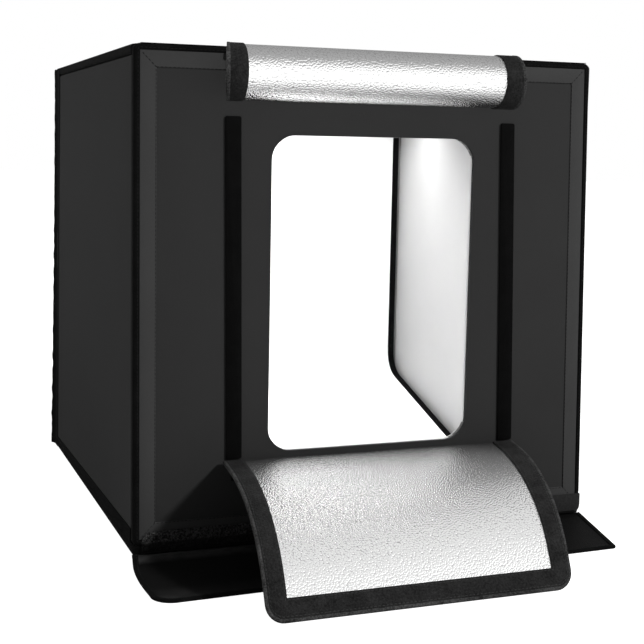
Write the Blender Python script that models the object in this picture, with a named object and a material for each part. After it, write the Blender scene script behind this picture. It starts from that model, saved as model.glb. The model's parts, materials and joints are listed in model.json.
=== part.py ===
"""Folding light tent for product photographs, a cube of stiff fabric panels.

Metres, +Z up. The origin is the centre of the underside, and the front faces -Y.

Each of the six panels is a sandwich, from the outside in: cover fabric, fluted board, silver
lining, with a channel of black binding sewn round the edge. The front panel has a window that two
flaps close from above and below. The lower one hangs open to the table and the upper one is
rolled up. Inside are a white backdrop that sweeps from the back wall to the floor, and two light
bars under the roof. A lidded port in the roof is for shooting from above.

The rolled upper flap and the jointed lower flap are the forms that take the most care.
"""

import math

import bmesh
import bpy
from mathutils import Matrix, Vector

# Outside of the closed tent
WIDTH = 0.400
DEPTH = 0.400
HEIGHT = 0.400

# Clearance between pieces that touch
GAP = 0.0003

# Layers of a panel
BINDING_WALL = 0.0010
COVER_T = 0.0008
BOARD_T = 0.0034
LINING_T = 0.0006
PANEL_T = 2 * BINDING_WALL + COVER_T + BOARD_T + LINING_T + 4 * GAP

# Faces and corners of a panel
BINDING_FACE = 0.0070
HEM_W = 0.0115
HEM_STEP = 0.0004
PANEL_CORNER_R = 0.0050
FRONT_FOOT_R = 0.0130
TIGHTEST_FOLD_R = 0.0010
CORNER_STEPS = 4

# Window in the front panel
WINDOW_SIDE = 0.110
WINDOW_SILL_Z = 0.076
WINDOW_BELOW_TOP = 0.066
WINDOW_R = 0.024
WINDOW_CORNER_STEPS = 8

# Hook and loop tape
TAPE_W = 0.015
LOOP_T = 0.0009
HOOK_T = 0.0007

# Loop strips on the front, beside the window
LOOP_STRIP_FROM_WINDOW = 0.023
LOOP_STRIP_BELOW_TOP = 0.053
LOOP_STRIP_R = 0.0020

# Lower flap, in rigid lengths that bend at their joints
FLAP_LAP = 0.038
FLAP_T = 0.0016
FLAP_BELOW_SILL = 0.0044
FLAP_LENGTH = 0.189
FLAP_PARTS = 4
FLAP_CORNER_R = 0.014
FLAP_EDGE = 0.0020
FLAP_DRIFT = 0.0225
FLAP_TAPER = 0.0165
FLAP_JOINT_SPACE = 0.0010
FLAP_CLOSED_SPACE = 0.0004
FLAP_TIP_LIFT = 0.0005
FLAP_DROOP_SHARES = (0.02, 0.25, 0.60, 1.00)
STEEPEST_DROOP_DEG = 85.0
DROOP_HALVINGS = 60
ROOT_TAPE_H = 0.016
ROOT_LIP_T = 0.0016
ROOT_LIP_RISE = 0.0002

# Upper flap, rolled up under the roof's front edge
ROLL_R = 0.0220
ROLL_PITCH = 0.0036
ROLL_TURNS = 2.1
ROLL_BELOW_TOP = 0.0195
ROLL_CENTRE_X = -0.0150
ROLL_TELESCOPE = 0.0010
UPPER_FLAP_LAP = 0.035
WELT_H = 0.0060
WELT_BELOW_TOP = 0.0017
STATIONS_PER_TURN = 28

# Skirt in front of the floor
SKIRT_LEFT_LENGTH = 0.108
SKIRT_RIGHT_LENGTH = 0.095
SKIRT_SIDE_INSET = 0.0010
SKIRT_LEFT_DRIFT = 0.0090
SKIRT_RIGHT_DRIFT = 0.0190
SKIRT_SHEET_T = 0.0012
SKIRT_BINDING_WALL = 0.0005
SKIRT_BINDING_FACE = 0.0050
SKIRT_ROUND_R = 0.016
SKIRT_SHARP_R = 0.0030
SKIRT_ROUND_STEPS = 8

# White backdrop
BACKDROP_SIDE_SPACE = 0.0008
BACKDROP_T = 0.0006
BACKDROP_BELOW_ROOF = 0.0037
BACKDROP_FRONT_SPACE = 0.007
SWEEP_RISE = 0.065
SWEEP_RUN = 0.204
SWEEP_WALL_BEND = 0.024
SWEEP_FLOOR_BEND = 0.060
SWEEP_STEPS = 7
EDGE_TAPE_W = 0.007
EDGE_TAPE_T = 0.0005

# Light bars under the roof
LIGHT_END_SPACE = 0.0217
LIGHT_W = 0.026
LIGHT_H = 0.0105
LIGHT_FROM_EDGE = 0.090
LIGHT_WALL = 0.0014
LIGHT_BASE_T = 0.0016
LIGHT_LEDGE_W = 0.0012
LIGHT_LEDGE_T = 0.0010
LIGHT_CROWN = 0.0015
LIGHT_CROWN_STEPS = 6
DIFFUSER_T = 0.0012
DIFFUSER_SEAT = 0.0024
CIRCUIT_W = 0.018
CIRCUIT_T = 0.0012
CHIP_SIZE = 0.0028
CHIP_H = 0.0008
CHIP_BITE = 0.0003
CHIPS = 20
INLET_R = 0.00275
INLET_STEPS = 16

# Port in the roof and its lid
PORT_R = 0.048
PORT_STEPS = 40
PORT_LID_SIDE = 0.128
PORT_LID_T = 0.0016
PORT_LID_R = 0.010
PORT_TAPE_INSET = 0.0020
PORT_TAPE_CLEAR = 0.0040

# How far a cutting block runs past what it cuts
OVERRUN = 0.002

# Base colour, roughness and metallic value of each finish
FINISHES = {
    "cover": ((0.028, 0.028, 0.029), 0.85, 0.0),
    "binding": ((0.006, 0.006, 0.006), 0.80, 0.0),
    "board": ((0.045, 0.045, 0.050), 0.55, 0.0),
    "silver": ((0.780, 0.780, 0.780), 0.30, 0.9),
    "loop": ((0.007, 0.007, 0.007), 0.95, 0.0),
    "hook": ((0.020, 0.020, 0.021), 0.70, 0.0),
    "skirt": ((0.006, 0.006, 0.006), 0.60, 0.0),
    "white": ((0.850, 0.850, 0.850), 0.45, 0.0),
    "aluminium": ((0.600, 0.610, 0.620), 0.35, 1.0),
    "circuit": ((0.800, 0.800, 0.760), 0.50, 0.0),
    "diffuser": ((0.900, 0.900, 0.900), 0.40, 0.0),
}

FRONT_Y = -DEPTH / 2
BACK_Y = DEPTH / 2
FRONT_FIELD_Y = FRONT_Y + HEM_STEP
LOOP_STRIP_FRONT_Y = FRONT_FIELD_Y - GAP - LOOP_T

WINDOW_W = WIDTH - 2 * WINDOW_SIDE
WINDOW_HEAD_Z = HEIGHT - WINDOW_BELOW_TOP
LOOP_STRIP_INNER_X = WINDOW_W / 2 + LOOP_STRIP_FROM_WINDOW
LOOP_STRIP_TOP_Z = HEIGHT - LOOP_STRIP_BELOW_TOP

FLAP_W = WINDOW_W + 2 * FLAP_LAP
FLAP_ROOT_Z = WINDOW_SILL_Z - FLAP_BELOW_SILL
FLAP_HINGE_Y = LOOP_STRIP_FRONT_Y - FLAP_CLOSED_SPACE - HOOK_T - GAP - FLAP_T / 2
FLAP_PART_LENGTH = FLAP_LENGTH / FLAP_PARTS

UPPER_FLAP_W = WINDOW_W + 2 * UPPER_FLAP_LAP
WELT_TOP_Z = HEIGHT - WELT_BELOW_TOP
WELT_BOTTOM_Z = WELT_TOP_Z - WELT_H
ROLL_CENTRE_Z = HEIGHT - ROLL_BELOW_TOP
DROP_Y = LOOP_STRIP_FRONT_Y - GAP - HOOK_T - GAP - FLAP_T / 2
ROLL_CENTRE_Y = DROP_Y - ROLL_R

SKIRT_T = 2 * SKIRT_BINDING_WALL + SKIRT_SHEET_T + 2 * GAP
SKIRT_HINGE_Y = FRONT_Y - GAP

INNER_W = WIDTH - 2 * (PANEL_T + GAP)
BACKDROP_W = INNER_W - 2 * BACKDROP_SIDE_SPACE
BACKDROP_TOP_Z = HEIGHT - PANEL_T - GAP - BACKDROP_BELOW_ROOF
LIGHT_LENGTH = INNER_W - 2 * LIGHT_END_SPACE
LIGHT_FROM_CENTRE_Y = DEPTH / 2 - LIGHT_FROM_EDGE

PORT_LID_Z = HEIGHT - HEM_STEP + 2 * GAP + LOOP_T + PORT_LID_T / 2
PORT_HINGE_Y = PORT_LID_SIDE / 2 + GAP

pivots = {}


def clear_scene():
    for obj in list(bpy.data.objects):
        bpy.data.objects.remove(obj, do_unlink=True)


# Outlines and skins


def rounded_outline(corners, radii, inset=0.0, steps=CORNER_STEPS):
    """A convex outline, given anticlockwise, moved in by inset and with an arc in each corner."""
    count = len(corners)
    points = [Vector(corner) for corner in corners]
    along = [(points[(i + 1) % count] - points[i]).normalized() for i in range(count)]
    outline = []
    for i in range(count):
        before = along[i - 1]
        after = along[i]
        inward_before = Vector((-before.y, before.x))
        turn = before.angle_signed(after) * -1
        half = math.tan(turn / 2)
        corner = points[i] + inward_before * inset + before * (-inset * half)
        if radii[i] == 0:
            outline.append(corner)
            continue
        radius = max(radii[i] - inset, TIGHTEST_FOLD_R)
        centre = corner - before * (radius * half) + inward_before * radius
        spoke = inward_before * -radius
        for step in range(steps + 1):
            spun = Matrix.Rotation(turn * step / steps, 2) @ spoke
            outline.append(centre + spun)
    return outline


def at_height(outline, height):
    return [(point[0], point[1], height) for point in outline]


def skin(loops, ring=False):
    """A closed mesh through a row of loops with equal counts, capped unless it joins up in a ring."""
    shape = bmesh.new()
    rows = [[shape.verts.new(point) for point in loop] for loop in loops]
    pairs = list(zip(rows, rows[1:]))
    if ring:
        pairs.append((rows[-1], rows[0]))
    for low, high in pairs:
        for i in range(len(low)):
            j = (i + 1) % len(low)
            shape.faces.new((low[i], low[j], high[j], high[i]))
    if not ring:
        shape.faces.new(rows[0])
        shape.faces.new(rows[-1])
    bmesh.ops.recalc_face_normals(shape, faces=shape.faces)
    return shape


def plate(corners, radii, low, high, steps=CORNER_STEPS):
    """A flat piece between two heights."""
    outline = rounded_outline(corners, radii, steps=steps)
    return skin([at_height(outline, low), at_height(outline, high)])


def rectangle(x_low, x_high, y_low, y_high):
    return [(x_low, y_low), (x_high, y_low), (x_high, y_high), (x_low, y_high)]


def centred(width, height):
    return rectangle(-width / 2, width / 2, -height / 2, height / 2)


def block(width, length, low, high):
    return plate(centred(width, length), [0.0] * 4, low, high)


def prism(profile, left, right):
    """A profile of (y, z) points, drawn out along X."""
    return skin([[(x, y, z) for y, z in profile] for x in (left, right)])


def circle(radius, steps):
    angles = [2 * math.pi * step / steps for step in range(steps)]
    return [(radius * math.cos(angle), radius * math.sin(angle)) for angle in angles]


def offset_path(path, distance):
    """A path in the YZ plane moved towards its inner side, which is on the right going along it."""
    moved = []
    for i, (y, z) in enumerate(path):
        here = Vector((y, z))
        before = here - Vector(path[i - 1]) if i else Vector(path[1]) - here
        after = Vector(path[i + 1]) - here if i + 1 < len(path) else before
        middle = before.normalized() + after.normalized()
        mitre = 2 / middle.length
        normal = Vector((middle.y, -middle.x)).normalized()
        moved.append(here + normal * distance * mitre)
    return moved


def ribbon(one_side, other_side, lefts, rights):
    """A strip between two paths in the YZ plane, whose ends in X may change along it."""
    loops = []
    for near, far, left, right in zip(one_side, other_side, lefts, rights):
        loops.append([(left, *near), (right, *near), (right, *far), (left, *far)])
    return skin(loops)


# Objects, bodies and materials


def finish_material(name, finish):
    colour, roughness, metallic = FINISHES[finish]
    material = bpy.data.materials.new(name)
    material.use_nodes = True
    shader = material.node_tree.nodes["Principled BSDF"]
    shader.inputs["Base Color"].default_value = (*colour, 1.0)
    shader.inputs["Roughness"].default_value = roughness
    shader.inputs["Metallic"].default_value = metallic
    return material


def pivot(name, parent, place):
    """An empty on a body's joint axis, which carries that body's pieces."""
    empty = bpy.data.objects.new(name + "_pivot", None)
    bpy.context.scene.collection.objects.link(empty)
    origin = pivots[parent]["place"] if parent else Vector((0, 0, 0))
    empty.parent = pivots[parent]["empty"] if parent else None
    empty.location = Vector(place) - origin
    pivots[name] = {"empty": empty, "place": Vector(place)}


def add(name, body, shape, finish, frame=None, smooth=False):
    """Puts a mesh on a body. The frame says where the mesh's own axes lie in the tent."""
    mesh = bpy.data.meshes.new(name)
    shape.to_mesh(mesh)
    shape.free()
    if smooth:
        mesh.shade_smooth()
        mesh.set_sharp_from_angle(angle=math.radians(40))
    obj = bpy.data.objects.new(name, mesh)
    bpy.context.scene.collection.objects.link(obj)
    obj.parent = pivots[body]["empty"]
    obj.matrix_basis = Matrix.Translation(-pivots[body]["place"]) @ (frame or Matrix.Identity(4))
    obj.data.materials.append(finish_material(name, finish))
    return obj


def cutter(name, body, shape, frame=None):
    obj = add(name, body, shape, "board", frame)
    obj.hide_render = True
    obj.display_type = "WIRE"
    return obj


def combine(obj, other, operation):
    modifier = obj.modifiers.new(other.name, "BOOLEAN")
    modifier.operation = operation
    modifier.solver = "EXACT"
    modifier.object = other


def axes(across, up, inward, origin):
    """The frame of a panel: its own X, Y and Z as directions in the tent."""
    turned = Matrix((across, up, inward)).transposed().to_4x4()
    return Matrix.Translation(origin) @ turned


# Panels


def channel(face, wall, depth):
    """Section of a binding, as inset from the panel's edge and depth from its outer face."""
    return [
        (0, 0),
        (face, 0),
        (face, wall),
        (wall, wall),
        (wall, depth - wall),
        (face, depth - wall),
        (face, depth),
        (0, depth),
    ]


def binding_ring(corners, radii, face, wall, depth, steps=CORNER_STEPS):
    section = channel(face, wall, depth)
    loops = [at_height(rounded_outline(corners, radii, inset, steps), z) for inset, z in section]
    return skin(loops, ring=True)


def terraced(corners, radii, terraces):
    """A plate whose outline steps in and out, as (inset, depth) from one face to the other."""
    return skin([at_height(rounded_outline(corners, radii, inset), z) for inset, z in terraces])


def panel(name, body, frame, width, height, radii, hole=None, hem_step=HEM_STEP):
    """Cover, board, lining and binding of one panel, about the centre of its outer face."""
    corners = centred(width, height)
    tucked = BINDING_WALL + GAP
    clear_of_face = BINDING_FACE + GAP
    hem_inner = clear_of_face + HEM_W

    cover_low = BINDING_WALL + GAP
    board_low = cover_low + COVER_T + GAP
    lining_low = board_low + BOARD_T + GAP

    hem = [(hem_inner, hem_step), (hem_inner, 0)] if hem_step else []
    cover_terraces = hem + [
        (clear_of_face, 0),
        (clear_of_face, cover_low),
        (tucked, cover_low),
        (tucked, cover_low + COVER_T),
    ]
    lining_terraces = [
        (tucked, lining_low),
        (tucked, lining_low + LINING_T),
        (clear_of_face, lining_low + LINING_T),
        (clear_of_face, PANEL_T),
    ]
    board_terraces = [(tucked, board_low), (tucked, board_low + BOARD_T)]

    ring = binding_ring(corners, radii, BINDING_FACE, BINDING_WALL, PANEL_T)
    add(name + "_binding", body, ring, "binding", frame)
    layers = [
        add(name + "_cover", body, terraced(corners, radii, cover_terraces), "cover", frame),
        add(name + "_board", body, terraced(corners, radii, board_terraces), "board", frame),
        add(name + "_lining", body, terraced(corners, radii, lining_terraces), "silver", frame),
    ]
    if hole:
        opening = cutter(name + "_opening_cutter", body, hole, frame)
        for layer in layers:
            combine(layer, opening, "DIFFERENCE")


def make_panels():
    inner_depth = DEPTH - 2 * (PANEL_T + GAP)
    inner_height = HEIGHT - 2 * (PANEL_T + GAP)
    middle_z = HEIGHT / 2
    all_round = [PANEL_CORNER_R] * 4

    x_axis = Vector((1, 0, 0))
    y_axis = Vector((0, 1, 0))
    z_axis = Vector((0, 0, 1))

    floor_frame = axes(x_axis, y_axis, z_axis, (0, 0, 0))
    panel("floor", "floor", floor_frame, WIDTH, DEPTH, all_round, hem_step=0)

    back_frame = axes(x_axis, z_axis, -y_axis, (0, BACK_Y, middle_z))
    panel("back", "back", back_frame, WIDTH, inner_height, all_round)

    left_frame = axes(y_axis, z_axis, x_axis, (-WIDTH / 2, 0, middle_z))
    panel("left_wall", "left_wall", left_frame, inner_depth, inner_height, all_round)

    right_frame = axes(-y_axis, z_axis, -x_axis, (WIDTH / 2, 0, middle_z))
    panel("right_wall", "right_wall", right_frame, inner_depth, inner_height, all_round)

    roof_length = DEPTH - PANEL_T - GAP
    roof_centre = Vector((0, BACK_Y - roof_length / 2, HEIGHT))
    roof_frame = axes(x_axis, -y_axis, -z_axis, roof_centre)
    port_outline = [(x, y + roof_centre.y) for x, y in circle(PORT_R, PORT_STEPS)]
    port = skin([at_height(port_outline, z) for z in (-OVERRUN, PANEL_T + OVERRUN)])
    panel("roof", "roof", roof_frame, WIDTH, roof_length, all_round, port)

    front_height = HEIGHT - PANEL_T - GAP
    front_centre_z = HEIGHT - front_height / 2
    front_frame = axes(-x_axis, z_axis, y_axis, (0, FRONT_Y, front_centre_z))
    sill = WINDOW_SILL_Z - front_centre_z
    head = WINDOW_HEAD_Z - front_centre_z
    window_corners = rectangle(-WINDOW_W / 2, WINDOW_W / 2, sill, head)
    window = plate(
        window_corners, [WINDOW_R] * 4, -OVERRUN, PANEL_T + OVERRUN, steps=WINDOW_CORNER_STEPS
    )
    radii = [FRONT_FOOT_R, PANEL_CORNER_R, PANEL_CORNER_R, PANEL_CORNER_R]
    panel("front", "front", front_frame, WIDTH, front_height, radii, window)


# Front: loop strips and the lower flap


def make_loop_strips():
    bottom = FLAP_ROOT_Z + FLAP_T / 2 + HOOK_T + 2 * GAP
    frame = axes(Vector((1, 0, 0)), Vector((0, 0, 1)), Vector((0, -1, 0)), (0, FRONT_FIELD_Y, 0))
    for side, sign in (("left", -1), ("right", 1)):
        edges = sorted((sign * LOOP_STRIP_INNER_X, sign * (LOOP_STRIP_INNER_X + TAPE_W)))
        outline = rectangle(*edges, bottom, LOOP_STRIP_TOP_Z)
        strip = plate(outline, [LOOP_STRIP_R] * 4, GAP, GAP + LOOP_T)
        add(side + "_loop_strip", "front", strip, "loop", frame)


def droop_angles():
    """Slope of each length of the lower flap, such that its tip comes to the table."""
    fall = FLAP_ROOT_Z - FLAP_TIP_LIFT
    low = 0.0
    high = math.radians(STEEPEST_DROOP_DEG)
    for _ in range(DROOP_HALVINGS):
        last = (low + high) / 2
        slopes = [share * last for share in FLAP_DROOP_SHARES]
        reach = sum(FLAP_PART_LENGTH * math.sin(slope) for slope in slopes)
        reach += FLAP_T / 2 * math.cos(last)
        if reach < fall:
            low = last
        else:
            high = last
    return [share * low for share in FLAP_DROOP_SHARES]


def flap_hinges(slopes):
    """The (y, z) places of the lower flap's joints, from its root."""
    places = [Vector((FLAP_HINGE_Y, FLAP_ROOT_Z))]
    for slope in slopes[:-1]:
        step = Vector((-math.cos(slope), -math.sin(slope))) * FLAP_PART_LENGTH
        places.append(places[-1] + step)
    return places


def flap_side(side, inset, gone):
    """Where one side of the lower flap lies, moved in by inset, at a share of its length."""
    return side * ((FLAP_W - FLAP_TAPER * gone) / 2 - inset) - FLAP_DRIFT * gone


def flap_band(index, start, end, left, right):
    """Outline across one length of the lower flap, between two distances from its joint.

    Left and right are each a side of the flap and how far in from it.
    """
    corners = []
    for distance, (side, inset) in ((end, left), (end, right), (start, right), (start, left)):
        gone = (index * FLAP_PART_LENGTH + distance) / FLAP_LENGTH
        corners.append((flap_side(side, inset, gone), -distance))
    return corners


def make_lower_flap(slopes):
    top = FLAP_T / 2
    hook_low = top + GAP
    hook_high = hook_low + HOOK_T
    last = FLAP_PARTS - 1
    space = FLAP_JOINT_SPACE / 2
    tape_inner = FLAP_EDGE + TAPE_W
    for index, (place, slope) in enumerate(zip(flap_hinges(slopes), slopes)):
        body = "lower_flap_%d" % (index + 1)
        number = "_%d" % (index + 1)
        frame = Matrix.Translation((0, place.x, place.y)) @ Matrix.Rotation(slope, 4, "X")
        end = FLAP_PART_LENGTH - (space if index < last else 0)
        rounded = FLAP_CORNER_R if index == last else 0
        outline = flap_band(index, space, end, (-1, 0), (1, 0))
        sheet = plate(outline, [rounded, rounded, 0, 0], -top, top)
        add("lower_flap_sheet" + number, body, sheet, "silver", frame)
        side_end = end if index < last else end - FLAP_EDGE - TAPE_W - GAP
        edges = {
            "left": ((-1, FLAP_EDGE), (-1, tape_inner)),
            "right": ((1, tape_inner), (1, FLAP_EDGE)),
        }
        for side, (left, right) in edges.items():
            outline = flap_band(index, space, side_end, left, right)
            tape = plate(outline, [0] * 4, hook_low, hook_high)
            add("lower_flap_%s_tape%s" % (side, number), body, tape, "hook", frame)
        if index == last:
            sides = ((-1, FLAP_EDGE), (1, FLAP_EDGE))
            outline = flap_band(index, end - tape_inner, end - FLAP_EDGE, *sides)
            radius = FLAP_CORNER_R - FLAP_EDGE
            tape = plate(outline, [radius, radius, 0, 0], hook_low, hook_high)
            add("lower_flap_end_tape", body, tape, "hook", frame)


def make_root_tape():
    """An L-shaped strip sewn under the window, whose lip carries the lower flap."""
    near = FRONT_FIELD_Y - GAP
    lip_top = FLAP_ROOT_Z + ROOT_LIP_RISE
    lip_low = lip_top - ROOT_LIP_T
    profile = [
        (near, lip_top),
        (FLAP_HINGE_Y, lip_top),
        (FLAP_HINGE_Y, lip_low),
        (near - LOOP_T, lip_low),
        (near - LOOP_T, lip_top - ROOT_TAPE_H),
        (near, lip_top - ROOT_TAPE_H),
    ]
    tape = prism(profile, -FLAP_W / 2, FLAP_W / 2)
    add("lower_flap_root_tape", "front", tape, "binding")


# Front: the rolled upper flap


def roll_path(radius_change):
    """Points along the roll, from its back, under and up the front, inwards to its core."""
    count = round(ROLL_TURNS * STATIONS_PER_TURN)
    path = []
    for step in range(count + 1):
        turns = ROLL_TURNS * step / count
        angle = 2 * math.pi * turns
        radius = ROLL_R - ROLL_PITCH * turns + radius_change
        y = ROLL_CENTRE_Y + radius * math.cos(angle)
        z = ROLL_CENTRE_Z - radius * math.sin(angle)
        path.append((y, z))
    return path


def roll_strip(low, high, left, right):
    """One layer of the roll, between two heights over the sheet's middle."""
    inner = roll_path(low)
    outer = roll_path(high)
    shift = [-ROLL_TELESCOPE * i / (len(inner) - 1) for i in range(len(inner))]
    lefts = [left + move for move in shift]
    rights = [right + move for move in shift]
    return ribbon(inner, outer, lefts, rights)


def make_upper_flap():
    half = FLAP_T / 2
    left = ROLL_CENTRE_X - UPPER_FLAP_W / 2
    right = ROLL_CENTRE_X + UPPER_FLAP_W / 2
    hook_low = half + GAP
    hook_high = hook_low + HOOK_T
    add("upper_flap_roll", "upper_flap", roll_strip(-half, half, left, right), "silver", smooth=True)
    left_tape = roll_strip(hook_low, hook_high, left, left + TAPE_W)
    add("upper_flap_left_tape", "upper_flap", left_tape, "hook", smooth=True)
    right_tape = roll_strip(hook_low, hook_high, right - TAPE_W, right)
    add("upper_flap_right_tape", "upper_flap", right_tape, "hook", smooth=True)

    drop = prism(
        [
            (DROP_Y - half, ROLL_CENTRE_Z + GAP),
            (DROP_Y + half, ROLL_CENTRE_Z + GAP),
            (DROP_Y + half, WELT_BOTTOM_Z - GAP),
            (DROP_Y - half, WELT_BOTTOM_Z - GAP),
        ],
        left,
        right,
    )
    add("upper_flap_drop", "front", drop, "cover")

    welt_edge = (WELT_TOP_Z - WELT_BOTTOM_Z) / 4
    welt = prism(
        [
            (FRONT_Y - GAP, WELT_BOTTOM_Z),
            (DROP_Y - half, WELT_BOTTOM_Z),
            (DROP_Y - half, WELT_TOP_Z - welt_edge),
            (DROP_Y - half + welt_edge, WELT_TOP_Z),
            (FRONT_Y - GAP, WELT_TOP_Z),
        ],
        left,
        right,
    )
    add("upper_flap_welt", "front", welt, "binding")


# Skirt


def make_skirt():
    """The floor cover's tongue, which lies on the table and closes the front's foot."""
    root_y = SKIRT_HINGE_Y - GAP
    side = WIDTH / 2 - SKIRT_SIDE_INSET
    corners = [
        (-side - SKIRT_LEFT_DRIFT, root_y - SKIRT_LEFT_LENGTH),
        (side - SKIRT_RIGHT_DRIFT, root_y - SKIRT_RIGHT_LENGTH),
        (side, root_y),
        (-side, root_y),
    ]
    radii = [SKIRT_ROUND_R, SKIRT_SHARP_R, SKIRT_SHARP_R, SKIRT_SHARP_R]
    ring = binding_ring(
        corners, radii, SKIRT_BINDING_FACE, SKIRT_BINDING_WALL, SKIRT_T, SKIRT_ROUND_STEPS
    )
    add("skirt_binding", "skirt", ring, "binding")
    tucked = SKIRT_BINDING_WALL + GAP
    outline = rounded_outline(corners, radii, tucked, SKIRT_ROUND_STEPS)
    low = SKIRT_BINDING_WALL + GAP
    sheet = skin([at_height(outline, low), at_height(outline, low + SKIRT_SHEET_T)])
    add("skirt_sheet", "skirt", sheet, "skirt")


# Backdrop


def bend(start, corner, end, trim_start, trim_end):
    """Points of a soft bend about a corner, which starts and ends a given way from it."""
    corner = Vector(corner)
    first = corner + (Vector(start) - corner).normalized() * trim_start
    last = corner + (Vector(end) - corner).normalized() * trim_end
    points = []
    for step in range(SWEEP_STEPS + 1):
        share = step / SWEEP_STEPS
        one = first.lerp(corner, share)
        two = corner.lerp(last, share)
        points.append(one.lerp(two, share))
    return points


def backdrop_path():
    """Middle of the backdrop's sheet, down the back wall, through the sweep and along the floor."""
    wall_y = BACK_Y - PANEL_T - 2 * GAP - HOOK_T - BACKDROP_T / 2
    floor_z = PANEL_T + GAP + BACKDROP_T / 2
    top = (wall_y, BACKDROP_TOP_Z)
    wall_corner = (wall_y, SWEEP_RISE)
    floor_corner = (BACK_Y - PANEL_T - SWEEP_RUN, floor_z)
    front = (FRONT_Y + PANEL_T + BACKDROP_FRONT_SPACE, floor_z)
    upper = bend(top, wall_corner, floor_corner, SWEEP_WALL_BEND, SWEEP_WALL_BEND)
    lower = bend(wall_corner, floor_corner, front, SWEEP_FLOOR_BEND, SWEEP_FLOOR_BEND)
    return [Vector(top)] + upper + lower + [Vector(front)]


def make_backdrop():
    path = backdrop_path()
    half = BACKDROP_T / 2
    side = BACKDROP_W / 2

    def layer(low, high, left, right):
        count = len(path)
        return ribbon(offset_path(path, low), offset_path(path, high), [left] * count, [right] * count)

    add("backdrop_sheet", "back", layer(-half, half, -side, side), "white", smooth=True)
    tape_low = half + GAP
    tape_high = tape_low + EDGE_TAPE_T
    left_tape = layer(tape_low, tape_high, -side, -side + EDGE_TAPE_W)
    add("backdrop_left_tape", "back", left_tape, "binding", smooth=True)
    right_tape = layer(tape_low, tape_high, side - EDGE_TAPE_W, side)
    add("backdrop_right_tape", "back", right_tape, "binding", smooth=True)

    tape_y = BACK_Y - PANEL_T - GAP
    frame = axes(Vector((1, 0, 0)), Vector((0, 0, 1)), Vector((0, -1, 0)), (0, tape_y, 0))
    outline = rectangle(-side, side, BACKDROP_TOP_Z - TAPE_W, BACKDROP_TOP_Z)
    add("backdrop_hook_tape", "back", plate(outline, [0] * 4, 0, HOOK_T), "hook", frame)


# Light bars


def make_light(name, y):
    """A light bar whose own Z points down from the roof: channel, circuit and diffuser."""
    top_z = HEIGHT - PANEL_T - GAP
    frame = axes(Vector((1, 0, 0)), Vector((0, -1, 0)), Vector((0, 0, -1)), (0, y, top_z))
    inner_length = LIGHT_LENGTH - 2 * LIGHT_WALL
    inner_w = LIGHT_W - 2 * LIGHT_WALL
    throat_w = inner_w - 2 * LIGHT_LEDGE_W
    seat_z = LIGHT_H - DIFFUSER_SEAT
    ledge_z = seat_z - LIGHT_LEDGE_T

    housing = add(name + "_housing", "roof", block(LIGHT_LENGTH, LIGHT_W, 0, LIGHT_H), "aluminium", frame)
    hollows = {
        "chamber": block(inner_length, inner_w, LIGHT_BASE_T, ledge_z),
        "throat": block(inner_length, throat_w, LIGHT_BASE_T, LIGHT_H + OVERRUN),
        "seat": block(inner_length, inner_w, seat_z, LIGHT_H + OVERRUN),
    }
    for part, shape in hollows.items():
        combine(housing, cutter(name + "_%s_cutter" % part, "roof", shape, frame), "DIFFERENCE")
    inlet_z = (LIGHT_BASE_T + ledge_z) / 2
    inlet_profile = [(across, inlet_z + up) for across, up in circle(INLET_R, INLET_STEPS)]
    inlet = prism(inlet_profile, LIGHT_LENGTH / 2 - LIGHT_WALL - OVERRUN, LIGHT_LENGTH / 2 + OVERRUN)
    combine(housing, cutter(name + "_inlet_cutter", "roof", inlet, frame), "DIFFERENCE")

    circuit_low = LIGHT_BASE_T + GAP
    circuit_high = circuit_low + CIRCUIT_T
    circuit_length = inner_length - 2 * GAP
    board = block(circuit_length, CIRCUIT_W, circuit_low, circuit_high)
    circuit = add(name + "_circuit", "roof", board, "circuit", frame)
    chips = bmesh.new()
    for index in range(CHIPS):
        x = circuit_length * ((index + 1 / 2) / CHIPS - 1 / 2)
        size = (CHIP_SIZE, CHIP_SIZE, CHIP_H + CHIP_BITE)
        place = Matrix.Translation((x, 0, circuit_high + (CHIP_H - CHIP_BITE) / 2))
        bmesh.ops.create_cube(chips, size=1.0, matrix=place @ Matrix.Diagonal((*size, 1)))
    combine(circuit, cutter(name + "_chips_guide", "roof", chips, frame), "UNION")

    half = inner_w / 2 - GAP
    base_z = seat_z + GAP
    outer = [(half, base_z)]
    for step in range(LIGHT_CROWN_STEPS + 1):
        share = step / LIGHT_CROWN_STEPS
        across = half * (1 - 2 * share)
        outer.append((across, base_z + DIFFUSER_T + LIGHT_CROWN * math.sin(math.pi * share)))
    outer.append((-half, base_z))
    length = inner_length / 2 - GAP
    add(name + "_diffuser", "roof", prism(outer, -length, length), "diffuser", frame, smooth=True)


# Port


def make_port():
    """Loop tape round the port and the lid that lies on it."""
    field_z = HEIGHT - HEM_STEP
    tape_side = PORT_LID_SIDE - 2 * PORT_TAPE_INSET
    tape = add(
        "port_loop_tape",
        "roof",
        plate(
            centred(tape_side, tape_side),
            [PORT_LID_R - PORT_TAPE_INSET] * 4,
            field_z + GAP,
            field_z + GAP + LOOP_T,
        ),
        "loop",
    )
    outline = circle(PORT_R + PORT_TAPE_CLEAR, PORT_STEPS)
    hole = skin([at_height(outline, z) for z in (field_z - OVERRUN, field_z + OVERRUN)])
    combine(tape, cutter("port_tape_cutter", "roof", hole), "DIFFERENCE")

    low = PORT_LID_Z - PORT_LID_T / 2
    lid = plate(
        centred(PORT_LID_SIDE, PORT_LID_SIDE), [PORT_LID_R] * 4, low, low + PORT_LID_T
    )
    add("port_lid", "port_lid", lid, "cover")


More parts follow.
